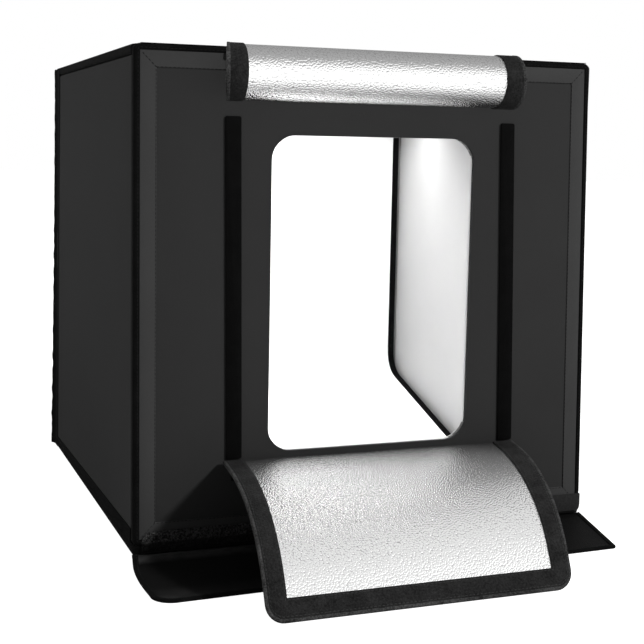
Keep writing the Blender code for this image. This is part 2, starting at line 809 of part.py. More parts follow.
def main():
    clear_scene()
    slopes = droop_angles()
    hinges = flap_hinges(slopes)

    pivot("floor", None, (0, 0, 0))
    pivot("skirt", "floor", (0, SKIRT_HINGE_Y, SKIRT_T))
    pivot("back", "floor", (0, BACK_Y, PANEL_T + GAP / 2))
    pivot("left_wall", "back", (-WIDTH / 2, BACK_Y - PANEL_T - GAP / 2, HEIGHT / 2))
    pivot("right_wall", "back", (WIDTH / 2, BACK_Y - PANEL_T - GAP / 2, HEIGHT / 2))
    pivot("roof", "back", (0, BACK_Y, HEIGHT - PANEL_T - GAP / 2))
    pivot("port_lid", "roof", (0, PORT_HINGE_Y, PORT_LID_Z))
    pivot("front", "roof", (0, FRONT_Y + PANEL_T, HEIGHT))
    pivot("upper_flap", "front", (0, ROLL_CENTRE_Y, ROLL_CENTRE_Z))
    carrier = "front"
    for index, place in enumerate(hinges):
        body = "lower_flap_%d" % (index + 1)
        pivot(body, carrier, (0, place.x, place.y))
        carrier = body

    make_panels()
    make_loop_strips()
    make_root_tape()
    make_lower_flap(slopes)
    make_upper_flap()
    make_skirt()
    make_backdrop()
    make_light("front_light", -LIGHT_FROM_CENTRE_Y)
    make_light("rear_light", LIGHT_FROM_CENTRE_Y)
    make_port()
    bpy.context.view_layer.update()

    for name, item in pivots.items():
        print("pivot", name, [round(value, 6) for value in item["place"]])
    print("slopes of the lower flap, degrees", [round(math.degrees(slope), 3) for slope in slopes])


main()
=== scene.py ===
# %% [markdown]
# A folding light tent: six fabric panels round a white inside, with a flap below its window that
# lies open on the table and one above it that is rolled up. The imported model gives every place
# and every moving body, and this script dresses it: cloth, foil, tape, stitches and light.

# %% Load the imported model
import json
import math
from bisect import bisect_right

import bmesh
import bpy
from mathutils import Matrix, Vector, noise

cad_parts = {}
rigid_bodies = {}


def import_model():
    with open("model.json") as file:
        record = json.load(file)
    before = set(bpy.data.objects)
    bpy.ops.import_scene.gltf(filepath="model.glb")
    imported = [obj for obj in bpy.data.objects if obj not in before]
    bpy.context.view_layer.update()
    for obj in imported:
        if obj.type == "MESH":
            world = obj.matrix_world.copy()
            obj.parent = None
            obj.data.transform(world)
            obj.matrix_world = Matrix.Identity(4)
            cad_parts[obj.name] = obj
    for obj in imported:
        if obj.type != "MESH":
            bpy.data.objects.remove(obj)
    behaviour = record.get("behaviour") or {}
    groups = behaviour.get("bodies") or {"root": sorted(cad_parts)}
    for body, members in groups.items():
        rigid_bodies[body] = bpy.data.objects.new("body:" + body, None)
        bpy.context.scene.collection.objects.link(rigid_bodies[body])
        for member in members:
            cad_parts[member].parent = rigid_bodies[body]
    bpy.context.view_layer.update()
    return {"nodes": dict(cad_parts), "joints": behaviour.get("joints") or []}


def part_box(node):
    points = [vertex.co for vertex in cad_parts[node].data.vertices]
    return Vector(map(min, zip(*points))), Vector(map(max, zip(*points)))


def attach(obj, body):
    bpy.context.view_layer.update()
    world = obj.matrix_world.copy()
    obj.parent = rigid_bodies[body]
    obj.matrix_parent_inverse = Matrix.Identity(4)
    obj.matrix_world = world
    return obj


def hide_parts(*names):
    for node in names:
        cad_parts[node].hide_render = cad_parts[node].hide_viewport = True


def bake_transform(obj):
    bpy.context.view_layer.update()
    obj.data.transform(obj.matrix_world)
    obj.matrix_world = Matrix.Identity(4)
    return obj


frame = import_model()
joints = {joint["name"]: joint for joint in frame["joints"]}
nodes = frame["nodes"]
MM = 0.001
X = Vector((1, 0, 0))
Y = Vector((0, 1, 0))
Z = Vector((0, 0, 1))

# %% [markdown]
# The photograph was taken from the tent's left, a little below its top, with a lens of about
# twice the normal length. The camera's place and turn were worked out from the cube's corners.
# The picture was framed with the tent slightly low, which is a small shift of the lens.

# %% Camera
CAMERA_PLACE = Vector((-0.3946, -1.1420, 0.3264))
CAMERA_YAW = 0.3553
CAMERA_PITCH = 0.1163
CAMERA_ROLL = 0.0195
LENS_MM = 69.55
SENSOR_MM = 36.0
LENS_SHIFT_Y = -0.05


def add(name, data):
    """A new object in the scene, from a mesh, a lamp or a lens."""
    piece = bpy.data.objects.new(name, data)
    bpy.context.scene.collection.objects.link(piece)
    return piece


def axes_at(across, up, outward, centre):
    return Matrix.Translation(centre) @ Matrix((across, up, outward)).transposed().to_4x4()


level_right = Vector((math.cos(CAMERA_YAW), -math.sin(CAMERA_YAW), 0))
level_ahead = Vector((math.sin(CAMERA_YAW), math.cos(CAMERA_YAW), 0))
ahead = level_ahead * math.cos(CAMERA_PITCH) - Z * math.sin(CAMERA_PITCH)
over = Z * math.cos(CAMERA_PITCH) + level_ahead * math.sin(CAMERA_PITCH)
right = level_right * math.cos(CAMERA_ROLL) + over * math.sin(CAMERA_ROLL)
top = over * math.cos(CAMERA_ROLL) - level_right * math.sin(CAMERA_ROLL)

lens = bpy.data.cameras.new("camera")
lens.lens = LENS_MM
lens.sensor_width = SENSOR_MM
lens.shift_y = LENS_SHIFT_Y
camera = add("camera", lens)
camera.matrix_world = axes_at(right, top, -ahead, CAMERA_PLACE)
bpy.context.scene.camera = camera
print("camera", tuple(round(value, 3) for value in camera.location))

# %% [markdown]
# Shading by sums: a Shader wraps the nodes of a material or of the sky, and a Sum wraps a socket,
# so that a pattern can be written as Python arithmetic. Any other node comes from `node`, which
# takes its kind, its settings and what goes into its sockets.

# %% Shader arithmetic


class Sum:
    """A number that flows between nodes. Arithmetic on it adds Math nodes."""

    def __init__(self, shader, socket):
        self.shader = shader
        self.socket = socket

    def __add__(self, other):
        return self.shader.maths("ADD", self, other)

    def __rsub__(self, other):
        return self.shader.maths("SUBTRACT", other, self)

    def __mul__(self, other):
        return self.shader.maths("MULTIPLY", self, other)

    __rmul__ = __mul__


class Shader:
    """The nodes of a material or of the sky, up to one last node."""

    def __init__(self, owner, last):
        owner.use_nodes = True
        self.tree = owner.node_tree
        self.last = self.tree.nodes[last]

    def feed(self, values, node=None):
        for key, value in values.items():
            socket = (node or self.last).inputs[key]
            if isinstance(value, Sum):
                self.tree.links.new(value.socket, socket)
            else:
                socket.default_value = value

    def node(self, kind, settings=None, values=None, out=0):
        made = self.tree.nodes.new("ShaderNode" + kind)
        for key, value in (settings or {}).items():
            setattr(made, key, value)
        self.feed(values or {}, made)
        return Sum(self, made.outputs[out])

    def maths(self, operation, *values):
        return self.node("Math", {"operation": operation}, dict(enumerate(values)))

    def ramp(self, value, *stops):
        """Grey levels at places from 0 to 1, with straight lines between them."""
        made = self.tree.nodes.new("ShaderNodeValToRGB")
        elements = made.color_ramp.elements
        while len(elements) < len(stops):
            elements.new(0.5)
        for element, (place, level) in zip(elements, stops):
            element.position = place
            element.color = grey(level)
        self.feed({0: value}, made)
        return Sum(self, made.outputs[0])

    def mix(self, share, one, other):
        """One colour where the share is 0 and the other where it is 1. Numbers are greys."""
        one, other = (grey(item) if isinstance(item, float) else item for item in (one, other))
        return self.node("Mix", {"data_type": "RGBA"}, {0: share, 6: one, 7: other}, out=2)

    def part(self, where, axis):
        return self.node("SeparateXYZ", values={0: where}, out=axis)

    def on_cloth(self):
        """Metres along the cloth, from the piece's own flat pattern."""
        return self.node("UVMap", {"uv_map": "flat"})

    def in_space(self):
        return self.node("TexCoord", out=3)

    def noise(self, size, detail=2.0, roughness=0.5, where=None):
        """Soft noise from 0 to 1, whose lumps have about the size that is given."""
        where = where or self.in_space()
        values = {"Vector": where, "Scale": 1 / size, "Detail": detail, "Roughness": roughness}
        return self.node("TexNoise", values=values)

    def tint(self, share, one, other):
        self.feed({"Base Color": self.mix(share, one, other)})

    def bump(self, height, depth, strength=1.0):
        values = {"Height": height, "Distance": depth, "Strength": strength}
        self.feed({"Normal": self.node("Bump", values=values)})


class Finish(Shader):
    """A material."""

    def __init__(self, name, roughness=0.5, metallic=0.0, specular=0.5):
        self.material = bpy.data.materials.new(name)
        super().__init__(self.material, "Principled BSDF")
        self.feed({"Roughness": roughness, "Metallic": metallic, "Specular IOR Level": specular})


def grey(level):
    return (level, level, level, 1)


def paint(piece, *finishes):
    piece.data.materials.clear()
    for finish in finishes:
        piece.data.materials.append(finish.material)


# %% [markdown]
# The outside is a matt polyester cloth in plain weave. At the photograph's scale its threads are
# too fine to count, so what shows is a matt, slightly uneven dark grey. The weave is still there
# for a closer look: the product of two sines gives the over-and-under of warp and weft.

# %% Cover cloth and hem
WEAVE_PITCH = 0.45 * MM


def cloth_finish(name, dark, light, roughness, pitch=WEAVE_PITCH, specular=0.06):
    finish = Finish(name, roughness, specular=specular)
    turn = math.pi / pitch
    warp, weft = (finish.maths("SINE", finish.part(finish.on_cloth(), way) * turn) for way in (0, 1))
    specks = finish.noise(1.2 * MM)
    patches = finish.noise(60 * MM, 3.0)
    finish.tint(finish.ramp(patches * 0.6 + specks * 0.4, (0.3, 0.0), (0.7, 1.0)), dark, light)
    finish.bump(warp * weft * 0.5 + specks * 0.8, 0.12 * MM, 0.6)
    return finish


cover = cloth_finish("cover cloth", 0.0195, 0.0220, 0.82)
hem = cloth_finish("hem cloth", 0.0300, 0.0350, 0.80)
under = cloth_finish("flap underside", 0.0060, 0.0080, 0.85)

# %% [markdown]
# The binding is a woven tape folded over the edge, near black and a little hairy. The hook tape is
# stiffer and greyer, because each of its tiny hooks catches light, and the loop tape is the
# darkest of all, since its pile swallows light. The tape along the front's foot has pale specks
# painted along its upper edge as painted highlights and a painted shade along its lower edge, and both
# fade out to the right, where the tape is plain.

# %% Binding, hook and loop tape


def tape_finish(name, dark, light, grain, depth, roughness=0.85, detail=4.0, specular=0.04):
    finish = Finish(name, roughness, specular=specular)
    fuzz = finish.noise(grain, detail, 0.7)
    streaks = finish.noise(12 * MM)
    finish.tint(finish.ramp(fuzz * 0.7 + streaks * 0.3, (0.36, 0.0), (0.68, 1.0)), dark, light)
    finish.bump(fuzz, depth)
    return finish


binding = tape_finish("binding tape", 0.0012, 0.0055, 0.9 * MM, 0.5 * MM)
rim = tape_finish("flap edge tape", 0.006, 0.060, 1.2 * MM, 0.5 * MM, 0.85, 2.0)
hook = tape_finish("hook tape", 0.0052, 0.0220, 1.5 * MM, 0.5 * MM, 0.75, 3.0)
loop = tape_finish("loop tape", 0.0022, 0.0040, 0.6 * MM, 0.4 * MM, 0.95, specular=0.02)
thread = tape_finish("thread", 0.006, 0.012, 0.5 * MM, 0.1 * MM, 0.6)
pale_thread = tape_finish("edge thread", 0.022, 0.045, 0.5 * MM, 0.1 * MM, 0.6)

# Painted light on the foot tape: pale specks on the upper edge are painted highlights, the lower edge
# is painted shade, and to the right both give way to a plain dark colour.
foot_tape = Finish("foot tape", 0.7, specular=0.04)
tufts_and_glints = foot_tape.ramp(foot_tape.noise(1.4 * MM, 3.0, 0.7), (0.40, 0.0), (0.66, 1.0))
upper = foot_tape.part(foot_tape.on_cloth(), 1) * 250 + 0.5
painted_glints_and_shade = foot_tape.mix(tufts_and_glints * foot_tape.ramp(upper, (0.3, 0.22), (0.8, 1.0)), 0.003, 0.10)
rightward = foot_tape.ramp(foot_tape.part(foot_tape.in_space(), 0) * 4, (0.1, 0.0), (0.5, 1.0))
foot_tape.tint(rightward, painted_glints_and_shade, foot_tape.mix(tufts_and_glints, 0.012, 0.017))
foot_tape.bump(tufts_and_glints * (1 - rightward * 0.85), 0.8 * MM)

# %% [markdown]
# The foil is aluminium-coated sheet with an embossed pebble grain about 2 mm across. Each pebble
# is a small dome that mirrors the whole room, so the grain is made as relief, from a Voronoi
# pattern's distance to each cell's middle. Its colour is painted lighter on the domes and darker in
# the valleys, as painted highlights and painted shade. Part of the open flap's foil scatters light,
# and its colour is painted darker near its root, as a painted dark reflection of the panel.

# %% Foil and lining
PEBBLE = 1.6 * MM
DARK_ROOT_REACH = 95 * MM
DARK_ROOT_LEVEL = 0.12


def foil_finish(name, relief, roughness, metal, dark, light, worn=False):
    finish = Finish(name, roughness, metal)
    flat = finish.on_cloth()
    warped = {0: finish.noise(6 * MM, where=flat), 1: (1.2 * MM,) * 3, 2: flat}
    where = finish.node("VectorMath", {"operation": "MULTIPLY_ADD"}, warped)
    values = {"Vector": where, "Scale": 1 / PEBBLE, "Randomness": 0.9}
    cells = finish.node("TexVoronoi", {"voronoi_dimensions": "2D"}, values)
    dome = 1 - cells * cells * 1.6
    # Painted highlights and painted shade: the colour is lighter on each dome's top and darker in its
    # valley.
    shine = finish.mix(finish.ramp(dome, (0.30, 0.0), (0.80, 1.0)), dark, light)
    if worn:
        # Painted dark reflection: the colour darkens toward the root, where the foil faces the dark
        # panel.
        root_darkening = finish.ramp(finish.part(flat, 1) * (-1 / DARK_ROOT_REACH), (0.0, DARK_ROOT_LEVEL), (1.0, 1.0))
        multiply = {"data_type": "RGBA", "blend_type": "MULTIPLY"}
        shine = finish.node("Mix", multiply, {0: 1.0, 6: shine, 7: root_darkening}, out=2)
    finish.feed({"Base Color": shine, "Roughness": finish.noise(25 * MM) * 0.12 + roughness})
    finish.bump(dome, relief)
    return finish


foil = foil_finish("embossed foil", 0.26 * MM, 0.10, 1.0, 0.58, 0.66)
flap_foil = foil_finish("worn foil", 0.25 * MM, 0.12, 0.86, 0.82, 1.00, worn=True)
lining = Finish("pale lining", 0.55, 0.15)
lining.tint(lining.noise(40 * MM), 0.36, 0.39)
lining.bump(lining.noise(1.5 * MM), 0.03 * MM, 0.3)

# %% [markdown]
# The backdrop is a white plastic sheet with a soft shine. The skirt is coated nylon, almost
# black. A painted sheen lies along its low fold at the root and along its front edge, on the left
# only.

# %% Backdrop and skirt
PAINTED_SHEEN_STOPS = ((0.03, 0.3), (0.07, 1.0), (0.20, 0.8), (0.26, 0.0), (0.78, 0.0), (1.0, 0.3))

white = Finish("white backdrop", 0.35)
white.tint(white.noise(90 * MM), 0.84, 0.88)
white.bump(white.noise(3 * MM), 0.05 * MM, 0.4)

nylon = cloth_finish("coated nylon", 0.0030, 0.0044, 0.60, 0.35 * MM, 0.03)
# Painted highlight: a lighter colour on the fold near the root and along the front edge, broken up by
# noise and on the left only.
painted_sheen = nylon.ramp(-10 * nylon.part(nylon.on_cloth(), 1), *PAINTED_SHEEN_STOPS)
painted_sheen = painted_sheen * nylon.ramp(nylon.noise(9 * MM, 3.0), (0.3, 0.4), (0.6, 1.0))
painted_sheen = painted_sheen * nylon.ramp(-4 * nylon.part(nylon.on_cloth(), 0), (0.0, 0.0), (0.4, 1.0))
nylon.tint(painted_sheen, 0.0037, 0.036)

# %% [markdown]
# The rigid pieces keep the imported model's own shapes and only get finishes: fluted black board,
# brushed aluminium drawn along the light bar, a white circuit with yellow chips, and a milky
# diffuser that glows.

# %% Rigid pieces
FLUTE_PITCH = 4 * MM
YELLOW = (0.85, 0.65, 0.10, 1)
DIFFUSER_GLOW = 3.0

board = Finish("fluted board", 0.5)
ribs = board.maths("SINE", board.part(board.in_space(), 0) * (2 * math.pi / FLUTE_PITCH))
board.tint(ribs * 0.5 + 0.5, 0.020, 0.034)
board.bump(ribs, 0.3 * MM)

aluminium = Finish("brushed aluminium", 0.3, 1.0)
drawn = aluminium.node("Mapping", values={0: aluminium.in_space(), 3: (0.02, 1, 1)})
lines = aluminium.noise(0.4 * MM, 3.0, where=drawn)
aluminium.tint(lines, 0.52, 0.66)
aluminium.feed({"Roughness": lines * 0.2 + 0.25})
aluminium.bump(lines, 0.02 * MM)

circuit = Finish("light circuit", 0.4)
chip_top_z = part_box("front_light_circuit")[0].z + 0.6 * MM
chips = circuit.maths("LESS_THAN", circuit.part(circuit.in_space(), 2), chip_top_z)
circuit.tint(chips, 0.80, YELLOW)

diffuser = Finish("milky diffuser", 0.35)
diffuser.tint(diffuser.noise(2 * MM), 0.86, 0.92)
diffuser.feed({"Emission Color": (1.0, 0.985, 0.96, 1), "Emission Strength": DIFFUSER_GLOW})

rigid = {"board": board, "housing": aluminium, "circuit": circuit, "diffuser": diffuser}
for name, node in nodes.items():
    kind = name.rsplit("_", 1)[-1]
    if kind in rigid:
        paint(node, rigid[kind])

# %% [markdown]
# Modelling helpers. `take` makes one object the only selected one, `enter` and `leave` change
# between the two modes, `pick` selects parts of the edited mesh by where they are, and `use` adds
# a modifier and applies it.

# %% Modelling helpers


def take(piece):
    bpy.ops.object.select_all(action="DESELECT")
    piece.select_set(True)
    bpy.context.view_layer.objects.active = piece


def enter(piece):
    take(piece)
    bpy.ops.object.mode_set(mode="EDIT")
    bpy.ops.mesh.select_mode(type="FACE")


def leave():
    bpy.ops.object.mode_set(mode="OBJECT")


def pick(kind, test):
    """Selects the verts, edges or faces of the edited mesh whose corners all pass the test."""
    piece = bpy.context.edit_object
    bpy.ops.mesh.select_mode(type={"verts": "VERT", "edges": "EDGE", "faces": "FACE"}[kind])
    bpy.ops.mesh.select_all(action="DESELECT")
    shape = bmesh.from_edit_mesh(piece.data)
    for item in getattr(shape, kind):
        corners = [item] if kind == "verts" else item.verts
        if all(test(corner.co) for corner in corners):
            item.select_set(True)
    shape.select_flush_mode()
    bmesh.update_edit_mesh(piece.data)


def near(value, wanted, slack=0.02 * MM):
    return abs(value - wanted) < slack


def use(piece, kind, **settings):
    take(piece)
    modifier = piece.modifiers.new(kind.lower(), kind)
    for key, value in settings.items():
        setattr(modifier, key, value)
    bpy.ops.object.modifier_apply(modifier=modifier.name)


# %% [markdown]
# Every piece starts as a plane, a box or a disc of its full size. Everything soft is cut flat
# first, in metres, and `lay_out` gives it its pattern coordinates while it is flat. `fit` ends a
# piece's making: its finish, its shading, and what it rides on and stands for.

# %% Starting shapes and last steps


def thicken(piece, thickness, offset=1):
    use(piece, "SOLIDIFY", thickness=thickness, offset=offset)


def round_edge(piece, width=0.25 * MM, angle=50):
    use(piece, "BEVEL", width=width, segments=2, limit_method="ANGLE", angle_limit=math.radians(angle))


def primitive(name, size, centre=(0, 0, 0)):
    """A plane of a width and height, or a box if there is a depth too."""
    ops = bpy.ops.mesh
    start = ops.primitive_plane_add if len(size) == 2 else ops.primitive_cube_add
    start(size=1, location=centre)
    piece = bpy.context.object
    piece.name = piece.data.name = name
    piece.scale = (*size, 1)[:3]
    take(piece)
    bpy.ops.object.transform_apply(location=True, rotation=True, scale=True)
    return piece


def rounded_sheet(name, width, height, radii, z=0.0, steps=4):
    """A flat sheet with its own radius at each corner: left or right, low or high."""
    piece = primitive(name, (width, height), (0, 0, z))
    enter(piece)
    for (x, y), radius in radii.items():
        pick("verts", lambda co: near(co.x, x * width / 2) and near(co.y, y * height / 2))
        bpy.ops.mesh.bevel(offset=radius, segments=steps, affect="VERTICES", profile=0.5)
    leave()
    return piece


def disc(radius, z=0.0):
    bpy.ops.mesh.primitive_circle_add(vertices=64, radius=radius, fill_type="NGON", location=(0, 0, z))
    return bpy.context.object


def all_corners(radius):
    return {(x, y): radius for x in (-1, 1) for y in (-1, 1)}


def arc(centre, radius, first, steps):
    """Points of a quarter round that starts at an angle in degrees."""
    turns = [math.radians(first + 90 * step / steps) for step in range(steps + 1)]
    return [centre + Vector((math.cos(turn), math.sin(turn), 0)) * radius for turn in turns]


def terrace(piece, moves):
    """Insets the sheet's middle face again and again, each move as width inwards and lift."""
    enter(piece)
    bpy.ops.mesh.select_all(action="SELECT")
    for width, lift in moves:
        bpy.ops.mesh.inset(thickness=width, depth=lift, use_even_offset=True)
    leave()


def cut(piece, lines, way=Y):
    """Cuts the mesh across at each place along a direction."""
    enter(piece)
    for line in lines:
        bpy.ops.mesh.select_all(action="SELECT")
        bpy.ops.mesh.bisect(plane_co=way * line, plane_no=way)
    leave()


def lay_out(piece):
    """Gives a flat piece its pattern coordinates, in metres."""
    layers = piece.data.uv_layers
    flat = layers[0] if layers else layers.new(name="flat")
    flat.name = "flat"
    for corner in piece.data.loops:
        flat.data[corner.index].uv = piece.data.vertices[corner.vertex_index].co.xy


def place_piece(piece, place):
    piece.data.transform(place)
    piece.data.update()


def shift(piece, *by):
    place_piece(piece, Matrix.Translation(by))


def soften(piece, angle):
    take(piece)
    bpy.ops.object.shade_smooth_by_angle(angle=math.radians(angle))


def fit(piece, finish, slot, body, *replaced, angle=40):
    """The body is a name, to which the piece is attached. Given as two names and two points, it leaves
    the piece where it lies.
    """
    if finish:
        paint(piece, finish)
    soften(piece, angle)
    if isinstance(body, str):
        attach(piece, body)
    else:
        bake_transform(piece)
    if replaced:
        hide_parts(*replaced)


# %% [markdown]
# A seam is one stitch copied along a line. The stitch is a small squashed sphere, as a thread
# looks where it dips into cloth at both ends. A seam is one mesh, so that it stays light.

# %% Stitches
STITCH_LENGTH = 2.3 * MM
STITCH_PITCH = 3.3 * MM
STITCH_W = 0.55 * MM


def make_stitch():
    bpy.ops.mesh.primitive_uv_sphere_add(segments=6, ring_count=5, radius=0.5)
    piece = bpy.context.object
    take(piece)
    bpy.ops.transform.rotate(value=math.pi / 2, orient_axis="Y", center_override=(0, 0, 0))
    piece.scale = (STITCH_W, STITCH_W, STITCH_LENGTH)
    bpy.ops.object.transform_apply(location=True, rotation=True, scale=True)
    points = [vertex.co.copy() for vertex in piece.data.vertices]
    faces = [tuple(face.vertices) for face in piece.data.polygons]
    bpy.data.objects.remove(piece)
    return points, faces


stitch_points, stitch_faces = make_stitch()
stitch_length = max(p.x for p in stitch_points) - min(p.x for p in stitch_points)
print("stitch", len(stitch_faces), "faces,", round(stitch_length / MM, 2), "mm long")


def seam_places(line, closed=False):
    """Middle and direction of each stitch along a line of flat points."""
    corners = list(line) + [line[0]] * closed
    places = []
    left_over = STITCH_PITCH / 2
    for start, end in zip(corners, corners[1:]):
        reach = (end - start).length
        while left_over < reach:
            places.append((start.lerp(end, left_over / reach), (end - start).normalized()))
            left_over += STITCH_PITCH
        left_over -= reach
    return places


def sew(name, seams, finish):
    """Stitches on flat cloth, as (line, closed, side): side is 1 on the top face and -1 below."""
    points = []
    faces = []
    for line, closed, side in seams:
        normal = Z * side
        for middle, along in seam_places(line, closed):
            across = normal.cross(along)
            base = len(points)
            points += [middle + along * p.x + across * p.y + normal * p.z for p in stitch_points]
            faces += [tuple(base + index for index in face) for face in stitch_faces]
    mesh = bpy.data.meshes.new(name)
    mesh.from_pydata(points, [], faces)
    piece = add(name, mesh)
    lay_out(piece)
    paint(piece, finish)
    soften(piece, 80)
    return piece


def lifted(line, height):
    return [point + Z * height for point in line]


# %% [markdown]
# Every panel is the same sandwich, so one set of functions makes them all in a flat frame: X
# across, Y up and Z out of the tent, with the outer face at zero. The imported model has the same
# panels as plain layers. Here the cover is a sheet whose turned-in hem stands a little proud.

# %% Panel sizes
PANEL_T = 8.0 * MM
BINDING_FACE = 4.9 * MM
BINDING_T = 0.9 * MM
BINDING_ROUND = 2.2 * MM
BINDING_LIP = 0.25 * MM
BINDING_BACK = 3.6 * MM
HEM_W = 13.3 * MM
TUCK = 2.2 * MM
COVER_T = 0.5 * MM
WALL_SUNK = 0.6 * MM
CORNER_R = 5.0 * MM
FOOT_R = 13.0 * MM
JOIN = 0.3 * MM


def panel_outline(width, height, radii, inset):
    """Points round a panel, moved in by an inset, for the stitches."""
    points = []
    for x, y, first in ((1, -1, -90), (1, 1, 0), (-1, 1, 90), (-1, -1, 180)):
        radius = max(radii[(x, y)] - inset, 1.0 * MM)
        centre = Vector((x * (width / 2 - inset - radius), y * (height / 2 - inset - radius), 0))
        points += arc(centre, radius, first, 6)
    return points


# %% [markdown]
# The binding starts as a slab as large as the panel. Its long edges are rounded, both faces are
# inset to the tape's width and a small turned-down lip, and the middles are deleted, which leaves
# a tape folded over the edge. Solidify then gives the tape its own thickness.

# %% Binding round a panel


def step_in(width, lift, gone, radii):
    """Insets the selected faces. A round corner that an inset would turn over becomes a point."""
    done = 0.0
    for radius in sorted(set(radii.values())):
        part = radius - JOIN - gone - done
        if 0 < part < width - done:
            bpy.ops.mesh.inset(thickness=part, depth=lift * part / width, use_even_offset=True)
            bpy.ops.mesh.remove_doubles(threshold=2 * JOIN)
            done += part
    bpy.ops.mesh.inset(thickness=width - done, depth=lift * (1 - done / width), use_even_offset=True)


def make_binding(name, width, height, radii, sunk=0.0):
    piece = primitive(name, (width, height, PANEL_T - sunk), (0, 0, -(PANEL_T + sunk) / 2))
    enter(piece)
    for (x, y), radius in radii.items():
        pick("edges", lambda co: near(co.x, x * width / 2) and near(co.y, y * height / 2))
        bpy.ops.mesh.bevel(offset=radius, segments=6, affect="EDGES", profile=0.5)
    for level in (-sunk, -PANEL_T):
        pick("edges", lambda co: near(co.z, level))
        bpy.ops.mesh.bevel(offset=BINDING_ROUND, segments=4, affect="EDGES", profile=0.5)
    for level, face in ((-sunk, BINDING_FACE), (-PANEL_T, BINDING_BACK)):
        pick("faces", lambda co: near(co.z, level))
        gone = BINDING_ROUND
        tape = face - BINDING_ROUND - 2 * BINDING_LIP
        for width, lift in ((tape, 0), (BINDING_LIP, -BINDING_LIP / 2), (BINDING_LIP, -BINDING_LIP)):
            step_in(width, lift, gone, radii)
            gone += width
        bpy.ops.mesh.delete(type="FACE")
    leave()
    lay_out(piece)
    use(piece, "SOLIDIFY", thickness=BINDING_T, offset=-1, use_even_offset=True)
    paint(piece, binding)
    return piece


# %% [markdown]
# A window or port is filled round rather than cut: two outlines, the field's and the opening's,
# are filled as one face with a hole, and the rim turns in.

# %% An opening in a sheet


def rounded(co):
    return tuple(round(value, 6) for value in co)


def open_hole(piece, hole, z, turn_in):
    """Puts an opening in the sheet's middle face and turns its edge in."""
    enter(piece)
    pick("faces", lambda co: near(co.z, z))
    bpy.ops.mesh.delete(type="ONLY_FACE")
    leave()
    shift(hole, 0, 0, z)
    rim_points = {rounded(vertex.co) for vertex in hole.data.vertices}
    enter(hole)
    bpy.ops.mesh.select_all(action="SELECT")
    bpy.ops.mesh.delete(type="ONLY_FACE")
    leave()
    take(piece)
    hole.select_set(True)
    bpy.ops.object.join()
    ends = boundary(piece)
    enter(piece)
    pick("edges", lambda co: near(co.z, z) and rounded(co) in ends)
    bpy.ops.mesh.fill(use_beauty=True)
    pick("edges", lambda co: rounded(co) in rim_points)
    keep_rim_only(piece)
    for lift in (turn_in * 0.15, turn_in * 0.85) if turn_in else ():
        bpy.ops.mesh.extrude_edges_move(TRANSFORM_OT_translate={"value": (0, 0, lift)})
    leave()


def boundary(piece):
    """Corners of the edges at which the sheet's inner faces end, and of the hole's loose edges."""
    shape = bmesh.new()
    shape.from_mesh(piece.data)
    open_edges = [edge for edge in shape.edges if len(edge.link_faces) < 2]
    corners = {rounded(vertex.co) for edge in open_edges for vertex in edge.verts}
    shape.free()
    return corners


def keep_rim_only(piece):
    """Of the edges picked, keeps those with a face on one side only."""
    shape = bmesh.from_edit_mesh(piece.data)
    for edge in shape.edges:
        if edge.select and len(edge.link_faces) != 1:
            edge.select_set(False)
    shape.select_flush_mode()
    bmesh.update_edit_mesh(piece.data)


# %% [markdown]
# The cover runs under the binding, rises over the folded hem, dips at the hem's seam and then
# lies flat as the field. The folded hem is a second layer of cloth, which looks a little lighter.
# A wall's cover has no hem of its own and rolls over the edge tape.

# %% Cover and lining of a panel
COVER_EDGE_Z = -1.15 * MM
HEM_Z = -0.30 * MM
FIELD_Z = -0.70 * MM
HEM_RISE = 0.65 * MM
GROOVE_W = 0.5 * MM
GROOVE_DEPTH = 0.15 * MM
WINDOW_TURN_IN = 3.0 * MM
WALL_TRIM = 0.4 * MM
WALL_MOVES = [(0.5 * MM, 0.5 * MM), (0.8 * MM, 0.3 * MM), (0.9 * MM, 0.08 * MM)]
LINING_Z = -PANEL_T + 1.2 * MM
LINING_DROP = 0.6 * MM


def tucked_sheet(name, width, height, radii, z, moves):
    """A terraced sheet whose outer corners are moved in, to stay inside a rounder binding."""
    piece = rounded_sheet(name, width - 2 * TUCK, height - 2 * TUCK, {}, z)
    terrace(piece, moves)
    enter(piece)
    for (x, y), radius in radii.items():
        pull = max(radius - CORNER_R, 0) * (1 - math.sqrt(0.5))
        corner = Vector((x * (width / 2 - TUCK), y * (height / 2 - TUCK)))
        pick("verts", lambda co: near(co.x, corner.x) and near(co.y, corner.y))
        bpy.ops.transform.translate(value=(-x * pull, -y * pull, 0))
    leave()
    return piece


def make_cover(name, width, height, radii, hole=None):
    moves = [
        (BINDING_FACE - TUCK - 0.5 * MM, 0),
        (HEM_RISE, 0.70 * (HEM_Z - COVER_EDGE_Z)),
        (HEM_RISE, 0.30 * (HEM_Z - COVER_EDGE_Z)),
        (HEM_W - 1.5 * MM, 0),
        (GROOVE_W, FIELD_Z - HEM_Z - GROOVE_DEPTH),
        (GROOVE_W, GROOVE_DEPTH),
    ]
    piece = tucked_sheet(name, width, height, radii, COVER_EDGE_Z, moves)
    if hole:
        open_hole(piece, hole, FIELD_Z, -WINDOW_TURN_IN)
    paint(piece, cover, hem)
    for face in piece.data.polygons:
        highest = max(piece.data.vertices[index].co.z for index in face.vertices)
        face.material_index = int(highest > HEM_Z - 0.05 * MM)
    lay_out(piece)
    thicken(piece, COVER_T, -1)
    return piece


def make_plain_cover(name, width, height):
    size = (width - 2 * WALL_TRIM, height - 2 * WALL_TRIM)
    piece = rounded_sheet(name, *size, all_corners(3 * MM), -0.9 * MM)
    terrace(piece, WALL_MOVES)
    lay_out(piece)
    thicken(piece, COVER_T, -1)
    paint(piece, cover)
    return piece


